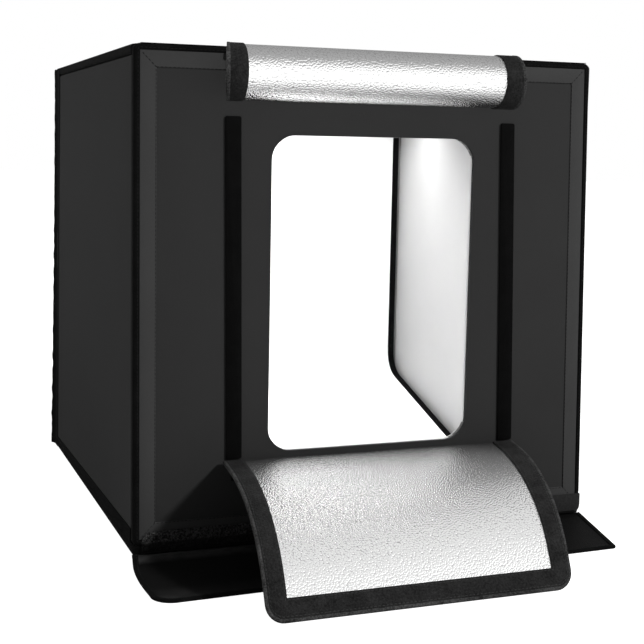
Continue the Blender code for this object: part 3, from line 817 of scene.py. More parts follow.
def make_lining(name, width, height, radii, hole=None):
    moves = [(BINDING_BACK - TUCK - 0.3 * MM, 0), (1.2 * MM, -LINING_DROP)]
    piece = tucked_sheet(name, width, height, radii, LINING_Z, moves)
    if hole:
        open_hole(piece, hole, LINING_Z - LINING_DROP, 3.2 * MM)
    paint(piece, lining)
    lay_out(piece)
    thicken(piece, COVER_T)
    return piece


# %% [markdown]
# Six lines place the panels, and say which way each panel's own axes run in the tent. The seams
# follow each panel: one holds the binding, one the hem, and a short one each mitre.

# %% The six panels
SIDE = 0.400
HALF = SIDE / 2
LONG = SIDE - PANEL_T - 0.3 * MM
WALL = SIDE - 2 * (PANEL_T + 0.3 * MM)
WINDOW = (0.180, 0.258)
WINDOW_R = 20.5 * MM
WINDOW_MIDDLE_Z = 0.205
PORT_R = 48.0 * MM
REVEAL = 0.9 * MM


def window_outline(trim):
    size = [length - 2 * trim for length in WINDOW]
    hole = rounded_sheet("window", *size, all_corners(WINDOW_R - trim), 0, 10)
    shift(hole, 0, WINDOW_MIDDLE_Z - (SIDE - LONG / 2), 0)
    return hole


def port_outline(trim):
    hole = disc(PORT_R - trim)
    shift(hole, 0, -(HALF - LONG / 2), 0)
    return hole


panels = {
    "floor": (axes_at(X, -Y, -Z, (0, 0, 0)), SIDE, SIDE, None),
    "back": (axes_at(-X, Z, Y, (0, HALF, HALF)), SIDE, WALL, None),
    "left_wall": (axes_at(-Y, Z, -X, (-HALF, 0, HALF)), WALL, WALL, None),
    "right_wall": (axes_at(Y, Z, X, (HALF, 0, HALF)), WALL, WALL, None),
    "roof": (axes_at(X, Y, Z, (0, HALF - LONG / 2, SIDE)), SIDE, LONG, port_outline),
    "front": (axes_at(X, Z, -Y, (0, -HALF, SIDE - LONG / 2)), SIDE, LONG, window_outline),
}


def panel_seams(width, height, radii, plain):
    hem_edge = BINDING_FACE + HEM_W
    hem_top = Vector((0, 0, -0.25 * MM))
    back_line = panel_outline(width, height, radii, BINDING_BACK - 1.2 * MM)
    seams = [(lifted(back_line, -PANEL_T - 0.05 * MM), True, -1)]
    if plain:
        return seams
    tape_line = panel_outline(width, height, radii, BINDING_FACE - 1.6 * MM)
    hem_line = panel_outline(width, height, radii, hem_edge - 0.8 * MM)
    seams.append((lifted(tape_line, 0.05 * MM), True, 1))
    seams.append((lifted(hem_line, hem_top.z), True, 1))
    for x, y in all_corners(0):
        start = Vector((x * (width / 2 - hem_edge), y * (height / 2 - hem_edge), 0))
        outer = start + Vector((x, y, 0)) * (HEM_W - 1.5 * MM)
        seams.append(([start + hem_top, outer + hem_top], False, 1))
    return seams


for name, (place, width, height, hole) in panels.items():
    radii = all_corners(CORNER_R)
    if name == "front":
        radii[(1, -1)] = FOOT_R
    plain = name.endswith("wall")
    size = (width, height, radii)
    strip = make_binding(name + "_edge_tape", *size, WALL_SUNK if plain else 0)
    if plain:
        skin = make_plain_cover(name + "_cloth", width, height)
    else:
        skin = make_cover(name + "_cloth", *size, hole and hole(REVEAL))
    inside = make_lining(name + "_silver", *size, hole and hole(REVEAL + 0.1 * MM))
    seam = sew(name + "_seams", panel_seams(*size, plain), thread)
    for piece in (strip, skin, inside, seam):
        place_piece(piece, place)
    fit(strip, None, "binding", name, name + "_binding")
    fit(skin, None, "cover", name, name + "_cover")
    fit(inside, None, "silver", name, name + "_lining")
    fit(seam, None, "binding", name, angle=80)
print("panels", len(panels))

# %% [markdown]
# Sheets that hang, roll or sweep are cut and sewn flat and then bent. A path says where each
# distance along the sheet lies, as a point in the YZ plane and the direction there. Bending moves
# every point of the flat piece: across stays X, along follows the path, and height stands on it.

# %% Bending flat cloth onto a path


class Path:
    """A line in the YZ plane, by distance from its start."""

    def __init__(self, points, reach=None):
        self.points = [Vector(point) for point in points]
        runs = [(b - a).length for a, b in zip(self.points, self.points[1:])]
        scale = reach / sum(runs) if reach else 1.0
        self.at = [0.0]
        for run in runs:
            self.at.append(self.at[-1] + run * scale)
        self.length = self.at[-1]

    def find(self, distance):
        """The point at a distance, and the direction there."""
        last = len(self.at) - 2
        index = min(max(bisect_right(self.at, distance) - 1, 0), last)
        start, end = self.points[index], self.points[index + 1]
        share = (distance - self.at[index]) / (self.at[index + 1] - self.at[index])
        before = self.points[index - 1] if index else start
        after = self.points[index + 2] if index < last else end
        first = (end - before).normalized()
        second = (after - start).normalized()
        return start.lerp(end, share), first.lerp(second, clip(share)).normalized()


def clip(value):
    return min(max(value, 0.0), 1.0)


def curve_between(start, corner, end, steps=24):
    """A bend that leaves the first point and reaches the last along straight lines."""
    shares = [step / steps for step in range(steps)]
    return [start.lerp(corner, share).lerp(corner.lerp(end, share), share) for share in shares]


def bend(piece, path, drift=0.0, side=1, taper=0.0):
    """Bends a flat piece: its -Y runs along the path, and its height stands to one side of it.

    Drift moves it sideways and taper narrows it, both per metre along the path.
    """
    for vertex in piece.data.vertices:
        along, height = -vertex.co.y, vertex.co.z
        across = vertex.co.x * (1 - taper * along)
        point, direction = path.find(along)
        place = point + Vector((direction.y, -direction.x)) * side * height
        vertex.co = (across + drift * along, place.x, place.y)
    if side < 0:
        piece.data.flip_normals()
    piece.data.update()


def cut_across(piece, start, end, pitch):
    count = max(1, round((end - start) / pitch))
    cut(piece, [-(start + (end - start) * step / count) for step in range(1, count)])


def flat_strip(name, left, right, start, end, low, high, cuts):
    """A strip of cloth lying flat, cut across often enough to bend smoothly."""
    middle = ((left + right) / 2, -(start + end) / 2, low)
    piece = primitive(name, (right - left, end - start), middle)
    thicken(piece, high - low)
    cut_across(piece, start, end, cuts)
    lay_out(piece)
    return piece


def part_of(piece, name, start, end):
    """A copy of a flat piece between two distances, with its cut ends closed."""
    copy = add(name, piece.data.copy())
    copy.data.name = name
    enter(copy)
    for line, side in ((start, 1), (end, -1)):
        bpy.ops.mesh.select_all(action="SELECT")
        ends = {"clear_outer": True, "use_fill": True}
        bpy.ops.mesh.bisect(plane_co=(0, -line, 0), plane_no=(0, side, 0), **ends)
    leave()
    return copy


# %% [markdown]
# The lower flap hangs from under the window to the table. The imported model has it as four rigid
# lengths. The real one is one sheet, so its line is the smooth curve that touches the middle of
# each rigid length.

# %% Line of the lower flap
FLAP_W = 0.256
FLAP_LENGTH = 0.189
FLAP_PARTS = 4
FLAP_T = 1.6 * MM
FLAP_DRIFT = -0.0225 / FLAP_LENGTH
FLAP_TAPER = 0.0165 / FLAP_W / FLAP_LENGTH
FLAP_TIP_SLOPE = math.radians(49.755)
FLAP_TAPE_W = 15.0 * MM
FLAP_EDGE = 2.0 * MM
FLAP_CORNER_R = 14.0 * MM
HOOK_T = 0.9 * MM

flap_joints = ["lower_flap_close"] + ["lower_flap_straighten_%d" % n for n in (2, 3, 4)]
hinges = [Vector(joints[name]["pos_m"]).yz for name in flap_joints]
part_length = FLAP_LENGTH / FLAP_PARTS
tip = hinges[-1] + Vector((-math.cos(FLAP_TIP_SLOPE), -math.sin(FLAP_TIP_SLOPE))) * part_length


def flap_line():
    places = hinges + [tip]
    middles = [(a + b) / 2 for a, b in zip(places, places[1:])]
    points = [hinges[0]]
    for before, corner, after in zip(middles, hinges[1:], middles[1:]):
        points += curve_between(before, corner, after)
    return points + [middles[-1], tip]


flap_path = Path(flap_line(), FLAP_LENGTH)
print("lower flap reaches", [round(value, 4) for value in tip])

# %% [markdown]
# The pieces of the lower flap, flat: foil on top and black cloth below, hook tape along three
# sides, an edge tape folded round the rim, and two rows of stitches. The tape is one U of three
# strips with square inner corners, as on the real one.

# %% Lower flap, flat
TAPE_INNER = FLAP_TAPE_W + FLAP_EDGE


def flap_outline(inset):
    """Line round the flap's sides and free end, moved in by an inset."""
    half = FLAP_W / 2 - inset
    radius = FLAP_CORNER_R - inset
    end = -FLAP_LENGTH + inset
    if radius < 0:
        return [Vector(p) for p in ((-half, 0, 0), (-half, end, 0), (half, end, 0), (half, 0, 0))]
    points = [Vector((-half, 0, 0))]
    for x, first in ((-1, 180), (1, 270)):
        points += arc(Vector((x * (half - radius), end + radius, 0)), radius, first, 8)
    return points + [Vector((half, 0, 0))]


def object_from(name, shape):
    """A piece from a closed mesh."""
    bmesh.ops.recalc_face_normals(shape, faces=shape.faces)
    mesh = bpy.data.meshes.new(name)
    shape.to_mesh(mesh)
    shape.free()
    return add(name, mesh)


def band_from_lines(name, outer, inner, low, high):
    """A flat band between two lines of equal count, as a closed solid."""
    shape = bmesh.new()
    rows = []
    for line, z in ((outer, low), (inner, low), (inner, high), (outer, high)):
        rows.append([shape.verts.new((point.x, point.y, z)) for point in line])
    for one, two in zip(rows, rows[1:] + rows[:1]):
        for corners in zip(one, one[1:], two[1:], two):
            shape.faces.new(corners)
    for end in (0, -1):
        shape.faces.new([row[end] for row in rows])
    return object_from(name, shape)


def square_inner(outer, half, end):
    """The tape's inner line, which has square corners, with a point for each of the outer."""
    points = []
    for point in outer:
        x = min(max(point.x, -half), half)
        y = max(point.y, end)
        points.append(Vector((math.copysign(half, point.x) if y > end else x, y, 0)))
    return points


def flap_sheet(name, z, finish):
    """One of the flap's two layers: square at its root and rounded at its free end, along -Y."""
    rounds = {(-1, -1): FLAP_CORNER_R, (1, -1): FLAP_CORNER_R}
    piece = rounded_sheet(name, FLAP_W - 2 * MM, FLAP_LENGTH - 1 * MM, rounds, 0, 8)
    shift(piece, 0, -(FLAP_LENGTH - 1 * MM) / 2, z)
    thicken(piece, FLAP_T / 2)
    lay_out(piece)
    paint(piece, finish)
    return piece


def flap_band(name, outer, inner, low, high, rounding, finish):
    band = band_from_lines(name, outer, inner, low, high)
    lay_out(band)
    round_edge(band, rounding)
    paint(band, finish)
    return band


def flap_flat():
    """The whole flap lying flat, piece by piece."""
    top = FLAP_T / 2
    tape_top = top + HOOK_T
    outer = flap_outline(0.3 * MM)
    inner = square_inner(outer, FLAP_W / 2 - FLAP_EDGE - FLAP_TAPE_W, -FLAP_LENGTH + TAPE_INNER)
    folded = (flap_outline(-0.2 * MM), flap_outline(2.6 * MM), -top - 0.3 * MM, tape_top + 0.2 * MM)
    insets = (3.6 * MM, TAPE_INNER - 1.6 * MM)
    rows = [(lifted(flap_outline(inset), tape_top + 0.05 * MM), False, 1) for inset in insets]
    return {
        "foil": flap_sheet("flap_foil", 0, flap_foil),
        "back": flap_sheet("flap_back", -top, under),
        "tape": flap_band("flap_tape", outer, inner, top, tape_top, 0.25 * MM, hook),
        "edge": flap_band("flap_edge", *folded, 0.9 * MM, rim),
        "stitches": sew("flap_stitches", rows, pale_thread),
    }


# %% [markdown]
# The flat flap is cut in three where a rigid length of the imported model is straight, and each
# part is bent onto the flap's line.

# %% Lower flap, cut in three and bent
FLAP_SLOTS = {"foil": "silver", "back": "cover", "tape": "hook", "edge": "hook", "stitches": "hook"}
FLAP_CUTS = [0.0, 1.5 * part_length, 2.5 * part_length, FLAP_LENGTH + 2 * MM]


def flap_point(distance):
    point, _ = flap_path.find(distance)
    return (FLAP_DRIFT * distance, point.x, point.y)


def stood_for(kind, number):
    """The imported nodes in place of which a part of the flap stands. The last is two lengths."""
    lengths = (3, 4) if number == 3 else (number,)
    if kind == "foil":
        return ["lower_flap_sheet_%d" % n for n in lengths]
    if kind == "tape":
        tapes = ["lower_flap_%s_tape_%d" % (side, n) for n in lengths for side in ("left", "right")]
        return tapes + ["lower_flap_end_tape"] * (number == 3)
    return []


flap_pieces = {}
for kind, whole in flap_flat().items():
    if kind != "stitches":
        cut_across(whole, 0, FLAP_LENGTH, 4 * MM)
    for number in (1, 2, 3):
        start = FLAP_CUTS[number - 1] if number > 1 else -1 * MM
        piece = part_of(whole, "lower_flap_%s_%d" % (kind, number), start, FLAP_CUTS[number])
        bend(piece, flap_path, FLAP_DRIFT, 1, FLAP_TAPER)
        bodies = ("lower_flap_%d" % number, "lower_flap_%d" % (number + 1))
        ends = [flap_point((number + middle) * part_length) for middle in (-0.5, 0.5)]
        fit(piece, None, FLAP_SLOTS[kind], (*bodies, *ends), *stood_for(kind, number))
        flap_pieces[(kind, number)] = piece
    bpy.data.objects.remove(whole)
print("lower flap pieces", len(flap_pieces))

# %% [markdown]
# At the root the flap is sewn to the panel: a strip of binding cloth comes down the panel
# and turns outwards under the flap.

# %% Root of the lower flap
ROOT_H = 16 * MM
ROOT_LEFT = 8 * MM
ROOT_RIGHT = 1 * MM
root_y, root_z = hinges[0]
front_face = -HALF + 0.4 * MM
behind_y = front_face - 0.6 * MM
below_z = root_z - 1.4 * MM
root_points = [
    Vector((behind_y, root_z - ROOT_H)),
    *curve_between(
        Vector((behind_y, root_z - 3 * MM)),
        Vector((behind_y, below_z)),
        Vector((root_y - 3 * MM, below_z)),
        12,
    ),
    Vector((root_y - 9 * MM, root_z - 1.45 * MM)),
]
root_path = Path(root_points)
root_ends = (-FLAP_W / 2 + ROOT_LEFT, FLAP_W / 2 - ROOT_RIGHT)
root = flat_strip("lower_flap_root", *root_ends, 0, root_path.length, 0, 0.5 * MM, 1 * MM)
bend(root, root_path)
root_bend = ((0, front_face, root_z - 2 * MM), (0, root_y - 3 * MM, root_z))
fit(root, binding, "binding", ("front", "lower_flap_1", *root_bend), "lower_flap_root_tape")
print("root strip", round(root_path.length / MM, 1), "mm long")

# %% [markdown]
# The upper flap is made the same way. It is flat cloth with foil on its outer side, and its path
# is a straight drop from the welt and then a spiral. The drop hangs between the panel and the roll,
# and the roll itself rides whole. Its left end is pulled askew.

# %% The roll
ROLL_R = 22.0 * MM
ROLL_PITCH = 3.6 * MM
ROLL_TURNS = 2.1
ROLL_STEPS = 260
UPPER_W = 0.250
UPPER_MIDDLE_X = -15.0 * MM
TELESCOPE = -1.0 * MM
SLANT = 0.2777
SLANT_W = 20 * MM
DROP_SHORT = 13 * MM
RIM_OUT = 0.5 * MM
RIM_IN = 2.4 * MM
drop_low, drop_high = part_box("upper_flap_drop")
drop_y = (drop_low.y + drop_high.y) / 2
roll_centre = Vector((drop_y - ROLL_R, drop_low.z - 0.3 * MM))
left_x = UPPER_MIDDLE_X - UPPER_W / 2
right_x = UPPER_MIDDLE_X + UPPER_W / 2


def roll_point(turns):
    angle = 2 * math.pi * turns
    spoke = Vector((math.cos(angle), -math.sin(angle)))
    return roll_centre + spoke * (ROLL_R - ROLL_PITCH * turns)


roll_path = Path([roll_point(ROLL_TURNS * step / ROLL_STEPS) for step in range(ROLL_STEPS + 1)])
print("sheet in the roll", round(roll_path.length, 3))


def slant(piece):
    """Moves the roll's left end so that its back lies further in than its front."""
    front_y = roll_centre.x - ROLL_R - 1 * MM
    for vertex in piece.data.vertices:
        share = clip((left_x + SLANT_W - vertex.co.x) / SLANT_W)
        vertex.co.x += SLANT * (vertex.co.y - front_y) * share


def rolled(name, left, right, low, high, finish, slot, *replaced, cuts=3 * MM):
    strip = flat_strip(name, left, right, 0, roll_path.length, low, high, cuts)
    if slot == "hook":
        round_edge(strip)
    else:
        cut(strip, [left + SLANT_W], X)
    bend(strip, roll_path, TELESCOPE / roll_path.length, -1)
    slant(strip)
    fit(strip, finish, slot, "upper_flap", *replaced)
    return strip


out = FLAP_T / 2
tape_z = (out, out + HOOK_T)
edge_z = (-out, out + HOOK_T + 0.2 * MM)
ends = (left_x, right_x)
roll_foil = rolled("roll_foil", *ends, 0, out, foil, "silver", "upper_flap_roll", cuts=2 * MM)
roll_back = rolled("roll_back", *ends, -out, 0, under, "cover")
roll_tapes = [
    rolled("roll_%s_tape" % side, *ends, *tape_z, hook, "hook", "upper_flap_%s_tape" % side)
    for side, ends in (
        ("left", (left_x, left_x + TAPE_INNER)),
        ("right", (right_x - TAPE_INNER, right_x)),
    )
]
roll_edges = [
    rolled("roll_%s_edge" % side, *ends, *edge_z, rim, "hook")
    for side, ends in (
        ("left", (left_x - RIM_OUT, left_x + RIM_IN)),
        ("right", (right_x - RIM_IN, right_x + RIM_OUT)),
    )
]

drop_path = Path([(drop_y, drop_high.z + 1 * MM), (drop_y, drop_low.z - 0.5 * MM)])
drop = flat_strip("roll_drop", left_x + DROP_SHORT, right_x, 0, drop_path.length, -out, out, 2 * MM)
bend(drop, drop_path)
drop_bend = ((0, drop_y, drop_high.z - 1 * MM), (0, drop_y, drop_low.z))
fit(drop, under, "cover", ("front", "upper_flap", *drop_bend), "upper_flap_drop")

# %% [markdown]
# The welt is a thick folded strip under the panel's top edge, into which the upper flap is sewn.
# The loop strips beside the window are what the flaps' hook tapes grip when they are closed. They
# are sewn on a little narrower than the hook tape, and not quite upright.

# %% Welt and loop strips
LOOP_WIDTH = 0.87
LOOP_SHIFTS = {"left": (2.4 * MM, -1.1 * MM), "right": (2.1 * MM, 0.2 * MM)}

welt_low, welt_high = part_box("upper_flap_welt")
welt_low.x += DROP_SHORT
welt = primitive("upper_flap_seam_welt", welt_high - welt_low, (welt_low + welt_high) / 2)
round_edge(welt, 1.4 * MM)
lay_out(welt)
fit(welt, binding, "binding", "front", "upper_flap_welt")

for side, (foot_shift, top_shift) in LOOP_SHIFTS.items():
    low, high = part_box(side + "_loop_strip")
    centre = (low + high) / 2
    strip = rounded_sheet(side + "_loop_tape", high.x - low.x, high.z - low.z, all_corners(1.5 * MM))
    thicken(strip, high.y - low.y)
    round_edge(strip, 0.35 * MM)
    lay_out(strip)
    place_piece(strip, axes_at(X, Z, -Y, (centre.x, high.y, centre.z)))
    for vertex in strip.data.vertices:
        rise = (vertex.co.z - low.z) / (high.z - low.z)
        narrowed = centre.x + (vertex.co.x - centre.x) * LOOP_WIDTH
        vertex.co.x = narrowed + foot_shift + (top_shift - foot_shift) * rise
    fit(strip, loop, "loop", "front", side + "_loop_strip")
print("loop strips", round((high.z - low.z) / MM), "mm high")

# %% [markdown]
# A fuzzy tape runs along the front panel's foot and covers the joint with the floor. Its colour has
# painted highlights above and painted shade below. Along a wall's foot it is black and gets narrower
# to the rear.

# %% Tapes along the foot
FOOT_LOW = 0.8 * MM
FOOT_HIGH = 19.5 * MM
FOOT_TAPE_R = 8.5 * MM
FOOT_START = 7.0 * MM
FOOT_END = 0.3 * MM
FOOT_T = 0.9 * MM
WALL_FOOT_FRONT = 12.5 * MM
WALL_FOOT_REAR = 3.5 * MM
WALLS = (("left", -Y, -X, -1), ("right", Y, X, 1))

foot_radii = {**all_corners(1 * MM), (1, -1): FOOT_TAPE_R, (-1, 1): FOOT_TAPE_R}
foot_size = (SIDE - FOOT_START - FOOT_END, FOOT_HIGH - FOOT_LOW)
foot = rounded_sheet("front_foot_tape", *foot_size, foot_radii)
thicken(foot, FOOT_T)
round_edge(foot, 0.4 * MM)
lay_out(foot)
foot_middle = ((FOOT_START - FOOT_END) / 2, -HALF - 0.1 * MM, (FOOT_LOW + FOOT_HIGH) / 2)
place_piece(foot, axes_at(X, Z, -Y, foot_middle))
fit(foot, foot_tape, "binding", "front")

for wall, along, outward, side in WALLS:
    tape = rounded_sheet(wall + "_wall_foot_tape", WALL - 1 * MM, WALL_FOOT_FRONT, all_corners(1 * MM))
    for vertex in tape.data.vertices:
        rear = 0.5 + side * vertex.co.x / WALL
        if vertex.co.y > 0:
            vertex.co.y -= rear * (WALL_FOOT_FRONT - WALL_FOOT_REAR)
    thicken(tape, 0.5 * MM)
    round_edge(tape, 0.2 * MM)
    lay_out(tape)
    middle = (side * (HALF + 0.02 * MM), 0, PANEL_T + 0.5 * MM + WALL_FOOT_FRONT / 2)
    place_piece(tape, axes_at(along, Z, outward, middle))
    fit(tape, binding, "binding", wall + "_wall")
print("foot tape", [round(length / MM, 1) for length in foot_size], "mm")

# %% [markdown]
# The skirt is a tongue of coated nylon that lies on the table. It is cut as one sheet, with a
# large round at its left front corner, and its edge is folded over and sewn. At its root it rises
# in a low fold that fades to the right, and its left side bows outwards.

# %% Skirt
SKIRT_LEFT = 108 * MM
SKIRT_RIGHT = 95 * MM
SKIRT_LEFT_DRIFT = 9 * MM
SKIRT_RIGHT_DRIFT = 19 * MM
SKIRT_ROUND_R = 16 * MM
SKIRT_SHARP_R = 3.5 * MM
SIDE_OUT = 2.0 * MM
SIDE_BOW = 3.6 * MM
SIDE_BOW_REACH = 90 * MM
HUMP = 3.2 * MM
HUMP_AT = 15 * MM
HUMP_W = 8 * MM
HUMP_END_X = 140 * MM
HUMP_FADE = 200 * MM
BOW_FROM_X = -150 * MM
BOW_FADE = 50 * MM
SKIRT_CUTS_TO = 0.112
skirt_front_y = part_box("skirt_binding")[1].y
skirt_width = SIDE - 2 * MM


def skirt_outline(inset, steps=12):
    """Line round the skirt's sides and front from its left root, moved in by an inset."""
    half = skirt_width / 2
    corners = [
        Vector((-half, 0)),
        Vector((-half - SKIRT_LEFT_DRIFT, -SKIRT_LEFT)),
        Vector((half - SKIRT_RIGHT_DRIFT, -SKIRT_RIGHT)),
        Vector((half, 0)),
    ]
    ways = [(b - a).normalized() for a, b in zip(corners, corners[1:] + corners[:1])]
    inward = [Vector((-way.y, way.x)) for way in ways]
    points = []
    for index, radius in enumerate((0, SKIRT_ROUND_R, SKIRT_SHARP_R, 0)):
        before, after = ways[index - 1], ways[index]
        turn = before.angle_signed(after) * -1
        half_turn = math.tan(turn / 2)
        corner = corners[index] + inward[index - 1] * inset - before * inset * half_turn
        if not radius:
            points.append(corner.to_3d())
            continue
        radius = max(radius - inset, 1 * MM)
        centre = corner - before * radius * half_turn + inward[index - 1] * radius
        for step in range(steps + 1):
            spoke = Matrix.Rotation(turn * step / steps, 2) @ (inward[index - 1] * -radius)
            points.append((centre + spoke).to_3d())
    return points


def filled(name, line, low, high):
    """A flat solid with the given outline."""
    shape = bmesh.new()
    face = shape.faces.new([shape.verts.new((point.x, point.y, low)) for point in line])
    shape.normal_update()
    if face.normal.z > 0:
        face.normal_flip()
    raised = bmesh.ops.extrude_face_region(shape, geom=[face])["geom"]
    corners = [item for item in raised if isinstance(item, bmesh.types.BMVert)]
    bmesh.ops.translate(shape, vec=(0, 0, high - low), verts=corners)
    return object_from(name, shape)


def lay_skirt(piece):
    """Slides the flat skirt to the floor's front edge, where it rises in a low fold."""
    for vertex in piece.data.vertices:
        fold = math.exp(-(((vertex.co.y + HUMP_AT) / HUMP_W) ** 2))
        vertex.co.z += HUMP * fold * clip((HUMP_END_X - vertex.co.x) / HUMP_FADE)
        share = clip(-vertex.co.y / SIDE_BOW_REACH)
        left = clip((BOW_FROM_X - vertex.co.x) / BOW_FADE)
        vertex.co.x -= (SIDE_OUT * (1 - share) + SIDE_BOW * math.sin(math.pi * share)) * left
    shift(piece, 0, skirt_front_y, 0)


tongue = filled("skirt_cloth", skirt_outline(1 * MM), 0.7 * MM, 2.0 * MM)
edge_lines = (skirt_outline(0), skirt_outline(4.5 * MM))
skirt_edge = band_from_lines("skirt_edge_tape", *edge_lines, 0.2 * MM, 2.7 * MM)
round_edge(skirt_edge, 0.9 * MM)
skirt_seam = (lifted(skirt_outline(3.4 * MM), 2.72 * MM), False, 1)
skirt_seams = sew("skirt_seams", [skirt_seam], thread)
for piece in (tongue, skirt_edge):
    cut_across(piece, 0, SKIRT_CUTS_TO, 3.5 * MM)
for piece in (tongue, skirt_edge, skirt_seams):
    lay_out(piece)
    lay_skirt(piece)
fit(tongue, nylon, "skirt", "skirt", "skirt_sheet")
fit(skirt_edge, binding, "binding", "skirt", "skirt_binding")
fit(skirt_seams, thread, "binding", "skirt")

# %% [markdown]
# The backdrop hangs from a strip of hook tape at the top of the back panel, comes down the wall,
# sweeps through two soft bends and runs forward on the floor. Its side edges are bound in black
# tape, which shows through the window as one dark line.

# %% Backdrop
BACKDROP_W = 0.3818
SHEET_T = 0.6 * MM
SWEEP_RISE = 65 * MM
SWEEP_RUN = 204 * MM
SWEEP_BEND = 24 * MM
FLOOR_BEND = 60 * MM
EDGE_W = 7 * MM
EDGE_T = 0.8 * MM
HANGER_H = 15 * MM
backdrop_low, backdrop_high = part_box("backdrop_sheet")
wall_y = backdrop_high.y - SHEET_T / 2
floor_z = backdrop_low.z + SHEET_T / 2
wall_corner = Vector((wall_y, SWEEP_RISE))
floor_corner = Vector((HALF - PANEL_T - SWEEP_RUN, floor_z))
slope = (floor_corner - wall_corner).normalized()
wall_bend = (wall_corner + Vector((0, SWEEP_BEND)), wall_corner, wall_corner + slope * SWEEP_BEND)
floor_bend = (floor_corner - slope * FLOOR_BEND, floor_corner, floor_corner - Vector((FLOOR_BEND, 0)))
sweep = [Vector((wall_y, backdrop_high.z)), *curve_between(*wall_bend), *curve_between(*floor_bend)]
sweep_path = Path(sweep + [Vector((backdrop_low.y, floor_z))])


def swept(name, left, right, low, high, finish, slot, replaced):
    strip = flat_strip(name, left, right, 0, sweep_path.length, low, high, 8 * MM)
    bend(strip, sweep_path)
    fit(strip, finish, slot, "back", replaced)
    return strip


half_w = BACKDROP_W / 2
half_t = SHEET_T / 2
backdrop = swept("white_sweep", -half_w, half_w, -half_t, half_t, white, "white", "backdrop_sheet")
for side, inner_x in (("left", -half_w), ("right", half_w - EDGE_W)):
    place = (inner_x, inner_x + EDGE_W, half_t, half_t + EDGE_T)
    swept("sweep_%s_edge" % side, *place, binding, "binding", "backdrop_%s_tape" % side)

hanger_low, hanger_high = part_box("backdrop_hook_tape")
hanger = rounded_sheet("sweep_hanger", BACKDROP_W, HANGER_H, all_corners(1 * MM))
thicken(hanger, hanger_high.y - hanger_low.y)
lay_out(hanger)
place_piece(hanger, axes_at(X, Z, -Y, (0, hanger_high.y, (hanger_low.z + hanger_high.z) / 2)))
fit(hanger, hook, "hook", "back", "backdrop_hook_tape")
print("backdrop", round(sweep_path.length, 4), "m long")

# %% [markdown]
# The port in the roof is closed by a square lid that lies on a ring of loop tape. The lid is two
# layers of cover cloth with a bound edge, and it swells a little in the middle.

# %% Port lid and its loop tape
LID_SIDE = 128 * MM
LID_R = 10 * MM
LID_EDGE = 5 * MM
RING_TRIM = 2 * MM
LID_MOVES = [(4.6 * MM, 0), (0.8 * MM, -0.35 * MM), (2.4 * MM, 0.20 * MM)]
lid_low, lid_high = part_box("port_lid")
ring_low, ring_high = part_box("port_loop_tape")

ring_side = LID_SIDE - 2 * RING_TRIM
ring = rounded_sheet("port_ring", ring_side, ring_side, all_corners(LID_R - RING_TRIM))
open_hole(ring, disc(PORT_R + 4 * MM), 0, 0)
lay_out(ring)
thicken(ring, ring_high.z - ring_low.z)
shift(ring, 0, 0, ring_low.z)
fit(ring, loop, "loop", "roof", "port_loop_tape")

lid = rounded_sheet("port_lid_cloth", LID_SIDE, LID_SIDE, all_corners(LID_R), 0, 6)
terrace(lid, LID_MOVES)
lay_out(lid)
thicken(lid, lid_high.z - lid_low.z - 0.2 * MM, -1)
round_edge(lid, 0.4 * MM, 60)
paint(lid, cover, binding)
for face in lid.data.polygons:
    from_middle = max(abs(face.center.x), abs(face.center.y))
    face.material_index = int(from_middle > LID_SIDE / 2 - LID_EDGE)
shift(lid, 0, 0, lid_high.z - 0.1 * MM)
fit(lid, None, "cover", "port_lid", "port_lid")
print("lid", round(LID_SIDE / MM), "mm wide, port", round(2 * PORT_R / MM))

# %% [markdown]
# Where two panels meet, a strip of binding cloth is sewn over the joint and works as the hinge.
# Each strip is cut across in narrow steps. The strips across the tent are bent onto a path, as the
# flaps are.

# %% Strips over the joints
STRIP_T = 0.45 * MM
LIFT = 0.03 * MM
NARROWEST_SHEET = 10 * MM
REACH = 15 * MM
TRIM = 0.8 * MM
NEAR_FOLD = 4.5 * MM
FAR_FOLD = 12 * MM
strip_w = SIDE - 12 * MM
skirt_root = [(-0.2, 7.4), (-0.2, 4.2), (-1.4, 2.9), (-5.5, 3.6)]
lid_top = lid_high.z - 0.1 * MM
joint_strips = (
    (
        "floor", "back", strip_w, [(HALF, TRIM), (HALF, TRIM + REACH)],
        (0, HALF, NEAR_FOLD), (0, HALF, FAR_FOLD),
    ),
    (
        "back", "roof", strip_w, [(HALF, SIDE - REACH - TRIM), (HALF, SIDE - TRIM)],
        (0, HALF, SIDE - FAR_FOLD), (0, HALF, SIDE - NEAR_FOLD),
    ),
    (
        "roof", "front", strip_w, [(-HALF + REACH + TRIM, SIDE), (-HALF + TRIM, SIDE)],
        (0, -HALF + FAR_FOLD, SIDE), (0, -HALF + NEAR_FOLD, SIDE),
    ),
    (
        "floor", "skirt", strip_w, [(-HALF + y * MM, z * MM) for y, z in skirt_root],
        (0, -HALF, 3.6 * MM), (0, -HALF - 4 * MM, 3 * MM),
    ),
    (
        "roof", "port_lid", LID_SIDE - 2 * LID_R,
        [(0.0720, ring_low.z), (0.0662, ring_low.z + 0.1 * MM), (0.0645, lid_low.z + 0.4 * MM),
         (0.0625, lid_top), (0.0575, lid_top)],
        (0, 0.0665, lid_high.z), (0, 0.0620, lid_high.z),
    ),
)
for low_body, high_body, width, line, start, end in joint_strips:
    path = Path(line)
    name = "%s_to_%s" % (low_body, high_body.replace("port_", ""))
    strip = flat_strip(name, -width / 2, width / 2, 0, path.length, LIFT, LIFT + STRIP_T, 1 * MM)
    bend(strip, path)
    fit(strip, binding, "binding", (low_body, high_body, start, end))
    if path.length > NARROWEST_SHEET:
        low_body + "_cloth"
print("strips", len(joint_strips))

# %% [markdown]
# A wall's strip is upright, and wider, because the wall swings on it. It is puckered where the
# seams pull it together at the corner, which gives the tent's rear edge its soft black line.

